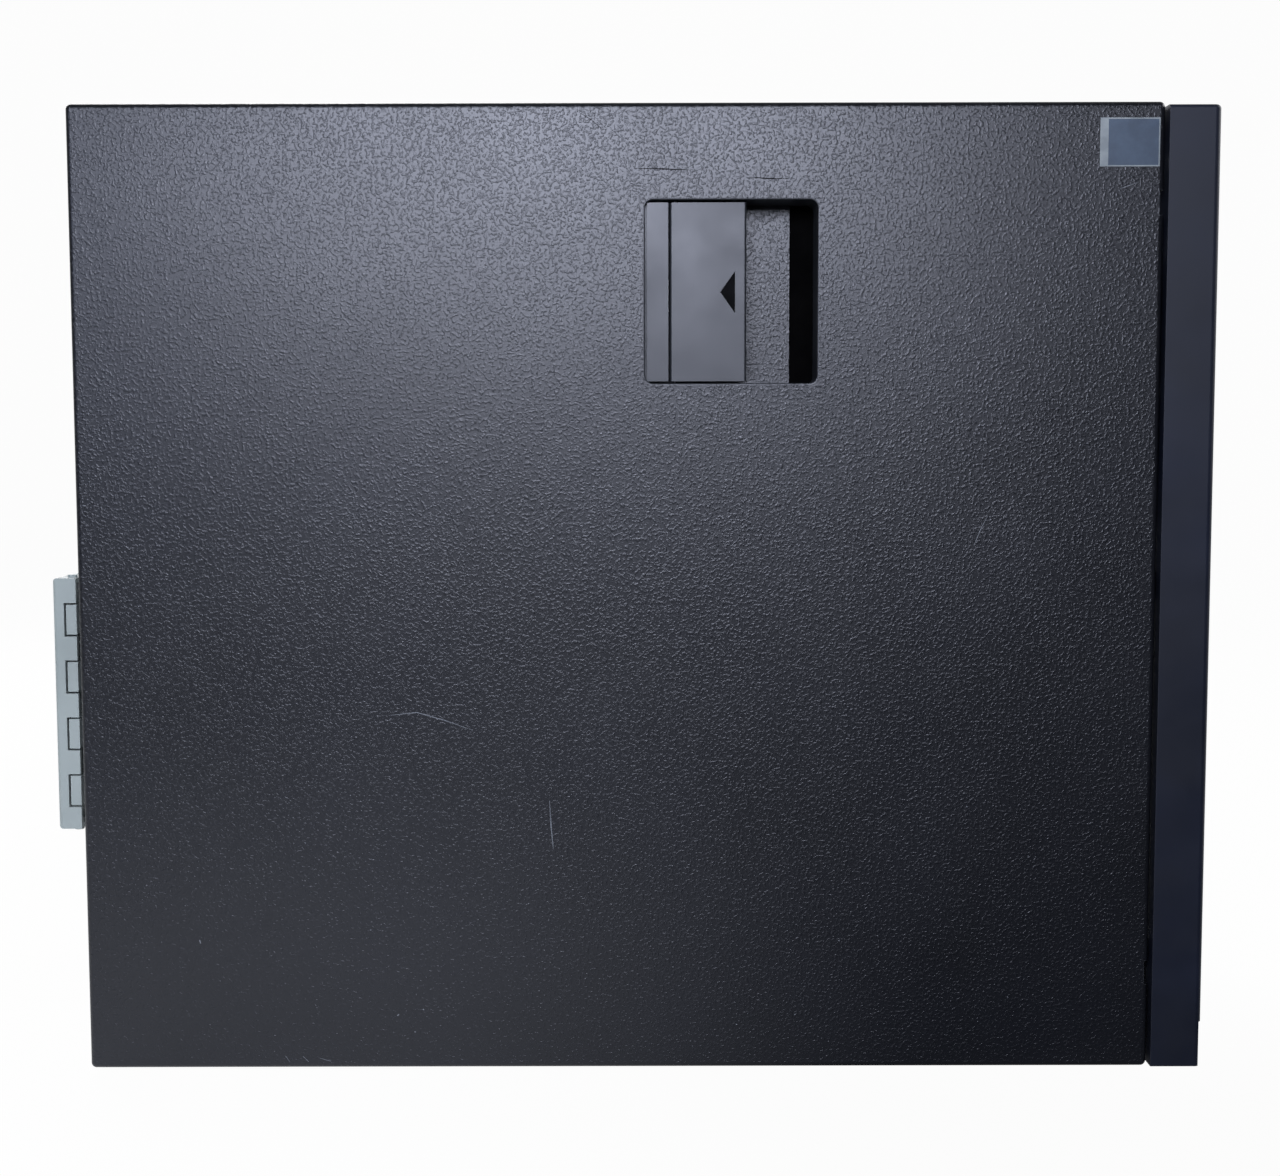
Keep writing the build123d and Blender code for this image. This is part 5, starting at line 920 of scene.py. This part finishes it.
def make_board_parts():
    """Chips, small resistors and round cans soldered to the main board."""
    dice = random.Random(BOARD_SEED)
    taken = keep_out()
    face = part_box("motherboard")[0].y
    chips = bmesh.new()
    cans = bmesh.new()
    kinds = [("chip", dice.choice(CHIP_SIZES)) for _ in range(CHIP_COUNT)]
    kinds += [("can", 2 * CAN_RADIUS)] * CAN_COUNT + [("resistor", 0.0)] * RESISTOR_COUNT
    for kind, size in kinds:
        width, depth, height = RESISTOR_SIZE if kind == "resistor" else (size, size, CHIP_HEIGHT)
        if dice.random() < 0.5:
            width, depth = depth, width
        half_x, half_z = width * MM / 2, depth * MM / 2
        place = free_place(dice, taken, half_x, half_z)
        if place is None:
            continue
        x, z = place
        if kind == "can":
            turn = Matrix.Translation((x, face, z)) @ Matrix.Rotation(math.radians(90.0), 4, "X")
            radius, tall = CAN_RADIUS * MM, CAN_HEIGHT * MM
            profile = [(radius, 0.0), (radius, CAN_SHOULDER_SHARE * tall), (CAN_TOP_SHARE * radius, tall)]
            cans.faces.new(add_lathe(cans, profile, turn))
        else:
            low = (x - half_x, face - height * MM, z - half_z)
            high = (x + half_x, face, z + half_z)
            add_box(chips, low, high, CHIP_EDGE, 1 if kind == "resistor" else 0)
    new_piece("board_chips", chips, "chassis", "black_plastic", CHIP_RESIN, CERAMIC)
    new_piece("board_cans", cans, "chassis", "bare_aluminium", BRIGHT_STEEL)


def make_memory_chips():
    """Row of chips on each side of every memory module."""
    form = bmesh.new()
    for points in spread_points("memory_modules"):
        low, high = corners_of(points)
        pitch = (high.z - low.z) / MEMORY_CHIPS
        y = (low.y + high.y) / 2
        for i in range(MEMORY_CHIPS):
            z = low.z + pitch * (i + 0.5)
            for near, far in ((low.x - MEMORY_CHIP_HEIGHT, low.x), (high.x, high.x + MEMORY_CHIP_HEIGHT)):
                start = (near, y - MEMORY_CHIP[0] / 2, z - MEMORY_CHIP[1] / 2)
                add_box(form, start, (far, y + MEMORY_CHIP[0] / 2, z + MEMORY_CHIP[1] / 2), CHIP_EDGE)
    new_piece("memory_chips", form, "chassis", "black_plastic", CHIP_RESIN)


def make_plain_stickers():
    """Empty paper stickers on the hard drive's lid and on the power supply's near side."""
    form = bmesh.new()
    low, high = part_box("hard_drive")
    inset = DRIVE_STICKER_INSET
    add_box(form, (low.x + inset, low.y + inset, high.z), (high.x - inset, high.y - inset, high.z + FILM))
    low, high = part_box("psu_case")
    inset = SUPPLY_STICKER_INSET
    add_box(form, (low.x + 2 * inset, low.y - FILM, low.z + inset), (high.x - inset, low.y, high.z - inset))
    new_piece("plain_stickers", form, "chassis", "pale_plastic", PAPER)


make_board_parts()
make_memory_chips()
make_plain_stickers()


# Floor, light and camera

# Picture width and focal length in pixels, turns of the camera in radians
IMAGE_WIDTH = 1280.0
FOCAL_PIXELS = 1838.0
CAMERA_PLACE = Vector((0.0045, -0.7623, 0.2401))
CAMERA_YAW = -0.0002
CAMERA_PITCH = -0.0827
CAMERA_ROLL = 0.0022
FLOOR_HALF_WIDTH = 5.0
FLOOR_FRONT = -3.0
FLOOR_BACK = 1.6
SWEEP_RADIUS = 0.6
SWEEP_STEPS = 12
BACKDROP_HEIGHT = 2.4
# Where the painted shadow on the floor fades into white paper, from full shadow to none: to the left and back
# in front of the case, and behind it
FLOOR_SHADOW_FADES = (("X", 0.13, -0.12), ("Y", -0.65, -0.36), ("Y", -0.12, 0.05))
# How white the paper looks to the camera, and in gloss and metal
WHITE_SHARE = 0.97
MIRROR_SHARE = 0.6


def make_camera():
    """Camera that sees the cover straight on, a little above its middle."""
    data = bpy.data.cameras.new("camera")
    data.sensor_fit = "HORIZONTAL"
    data.sensor_width = 36.0
    data.lens = FOCAL_PIXELS / IMAGE_WIDTH * data.sensor_width
    data.clip_start = 0.01
    camera = bpy.data.objects.new("camera", data)
    bpy.context.scene.collection.objects.link(camera)
    turn = (
        Matrix.Rotation(CAMERA_YAW, 4, "Z")
        @ Matrix.Rotation(CAMERA_PITCH, 4, "X")
        @ Matrix.Rotation(CAMERA_ROLL, 4, "Y")
        @ Matrix.Rotation(math.radians(90.0), 4, "X")
    )
    camera.matrix_world = Matrix.Translation(CAMERA_PLACE) @ turn
    bpy.context.scene.camera = camera


def sweep_paper():
    """White paper sweep with a painted shadow in front of the case and to its right: dark grey to lamps and
    gloss, nearly white to the camera.
    """
    material = bpy.data.materials.new("white_sweep_paper")
    material.use_nodes = True
    tree = material.node_tree
    tree.nodes.clear()
    place = add(tree, "ShaderNodeTexCoord").outputs["Object"]
    spot = add(tree, "ShaderNodeSeparateXYZ", {"Vector": place})
    shares = []
    for axis, full_shadow, no_shadow in FLOOR_SHADOW_FADES:
        share = add(
            tree,
            "ShaderNodeMapRange",
            {"Value": spot.outputs[axis], "From Min": full_shadow, "From Max": no_shadow},
            interpolation_type="SMOOTHSTEP",
        )
        shares.append(share.outputs["Result"])
    near_left = add(tree, "ShaderNodeMath", {0: shares[0], 1: shares[1]}, operation="MULTIPLY").outputs[0]
    paper = add(tree, "ShaderNodeMath", {0: near_left, 1: shares[2]}, operation="MAXIMUM").outputs[0]
    # Painted shadow on the floor: dark grey where the shadow is full, white paper where there is none
    colour = add(
        tree,
        "ShaderNodeMix",
        {"Factor": paper, "A": srgb("#3c3d40"), "B": srgb("#e9e9e8")},
        data_type="RGBA",
    )
    sheet = add(tree, "ShaderNodeBsdfDiffuse", {"Color": colour.outputs["Result"]})
    white = add(tree, "ShaderNodeEmission", {"Color": (1.0, 1.0, 1.0, 1.0), "Strength": 1.0})
    path = add(tree, "ShaderNodeLightPath")
    mirrored = add(
        tree,
        "ShaderNodeMath",
        {0: path.outputs["Is Glossy Ray"], 1: path.outputs["Is Transmission Ray"]},
        operation="MAXIMUM",
    )
    # Gloss and metal see the white paper only outside the painted shadow
    mirrored = add(tree, "ShaderNodeMath", {0: mirrored.outputs[0], 1: paper}, operation="MULTIPLY")
    mirrored = add(tree, "ShaderNodeMath", {0: mirrored.outputs[0], 1: MIRROR_SHARE}, operation="MULTIPLY")
    seen = add(
        tree,
        "ShaderNodeMath",
        {0: path.outputs["Is Camera Ray"], 1: mirrored.outputs[0]},
        operation="MAXIMUM",
    )
    share = add(tree, "ShaderNodeMath", {0: seen.outputs[0], 1: WHITE_SHARE}, operation="MULTIPLY")
    mixed = add(tree, "ShaderNodeMixShader", {0: share.outputs[0], 1: sheet.outputs[0], 2: white.outputs[0]})
    add(tree, "ShaderNodeOutputMaterial", {"Surface": mixed.outputs[0]})
    return material


def make_floor():
    """Pale floor that sweeps up into the backdrop."""
    profile = [(FLOOR_FRONT, 0.0), (FLOOR_BACK, 0.0)]
    for i in range(1, SWEEP_STEPS + 1):
        angle = math.radians(90.0 * i / SWEEP_STEPS)
        y = FLOOR_BACK + SWEEP_RADIUS * math.sin(angle)
        profile.append((y, SWEEP_RADIUS - SWEEP_RADIUS * math.cos(angle)))
    profile.append((FLOOR_BACK + SWEEP_RADIUS, BACKDROP_HEIGHT))
    mesh = bpy.data.meshes.new("floor")
    points = [(side * FLOOR_HALF_WIDTH, y, z) for y, z in profile for side in (-1, 1)]
    faces = [(2 * i, 2 * i + 1, 2 * i + 3, 2 * i + 2) for i in range(len(profile) - 1)]
    mesh.from_pydata(points, [], faces)
    floor = bpy.data.objects.new("floor", mesh)
    bpy.context.scene.collection.objects.link(floor)
    for face in mesh.polygons:
        face.use_smooth = True
    mesh.materials.append(sweep_paper())


def make_lamp(name, place, aim, size, power, tint="#ffffff"):
    """Soft rectangular lamp aimed at a point."""
    data = bpy.data.lights.new(name, "AREA")
    data.shape = "RECTANGLE"
    data.size, data.size_y = size
    data.energy = power
    data.color = srgb(tint)[:3]
    lamp = bpy.data.objects.new(name, data)
    bpy.context.scene.collection.objects.link(lamp)
    lamp.location = place
    lamp.rotation_euler = (Vector(aim) - Vector(place)).to_track_quat("-Z", "Y").to_euler()


def make_light():
    """Soft lamp high in front, a low one that lights the floor at the left, two behind, and a dim room."""
    make_lamp(
        "key_softbox",
        place=(-0.07, -1.05, 0.54),
        aim=(0.0, -0.0875, 0.22),
        size=(0.6, 0.3),
        power=9.6,
        tint="#f4f6ff",
    )
    make_lamp(
        "left_floor_lamp",
        place=(-0.5, -0.62, 0.42),
        aim=(-0.34, -0.42, 0.0),
        size=(0.3, 0.3),
        power=0.8,
        tint="#e2e9ff",
    )
    make_lamp("rear_softbox", place=(-0.7, 1.2, 1.1), aim=(0.0, 0.0, 0.2), size=(1.0, 0.8), power=16.0)
    make_lamp("front_softbox", place=(1.4, 0.35, 0.9), aim=(0.1, 0.0, 0.2), size=(0.8, 0.8), power=10.0)
    world = bpy.data.worlds.new("studio")
    bpy.context.scene.world = world
    world.use_nodes = True
    tree = world.node_tree
    tree.nodes.clear()
    toward = add(tree, "ShaderNodeTexCoord").outputs["Generated"]
    behind = add(tree, "ShaderNodeSeparateXYZ", {"Vector": toward})
    room = add(
        tree,
        "ShaderNodeMapRange",
        {"Value": behind.outputs["Y"], "From Min": -0.5, "From Max": 0.7, "To Min": 0.016, "To Max": 0.36},
    )
    path = add(tree, "ShaderNodeLightPath")
    strength = add(
        tree,
        "ShaderNodeMix",
        {"Factor": path.outputs["Is Camera Ray"], "A": room.outputs["Result"], "B": WHITE_SHARE},
        data_type="FLOAT",
    )
    lit = {"Color": (1.0, 1.0, 1.0, 1.0), "Strength": strength.outputs["Result"]}
    sky = add(tree, "ShaderNodeBackground", lit)
    add(tree, "ShaderNodeOutputWorld", {"Surface": sky.outputs[0]})


make_camera()
make_floor()
make_light()
bpy.context.scene.view_settings.view_transform = "Standard"
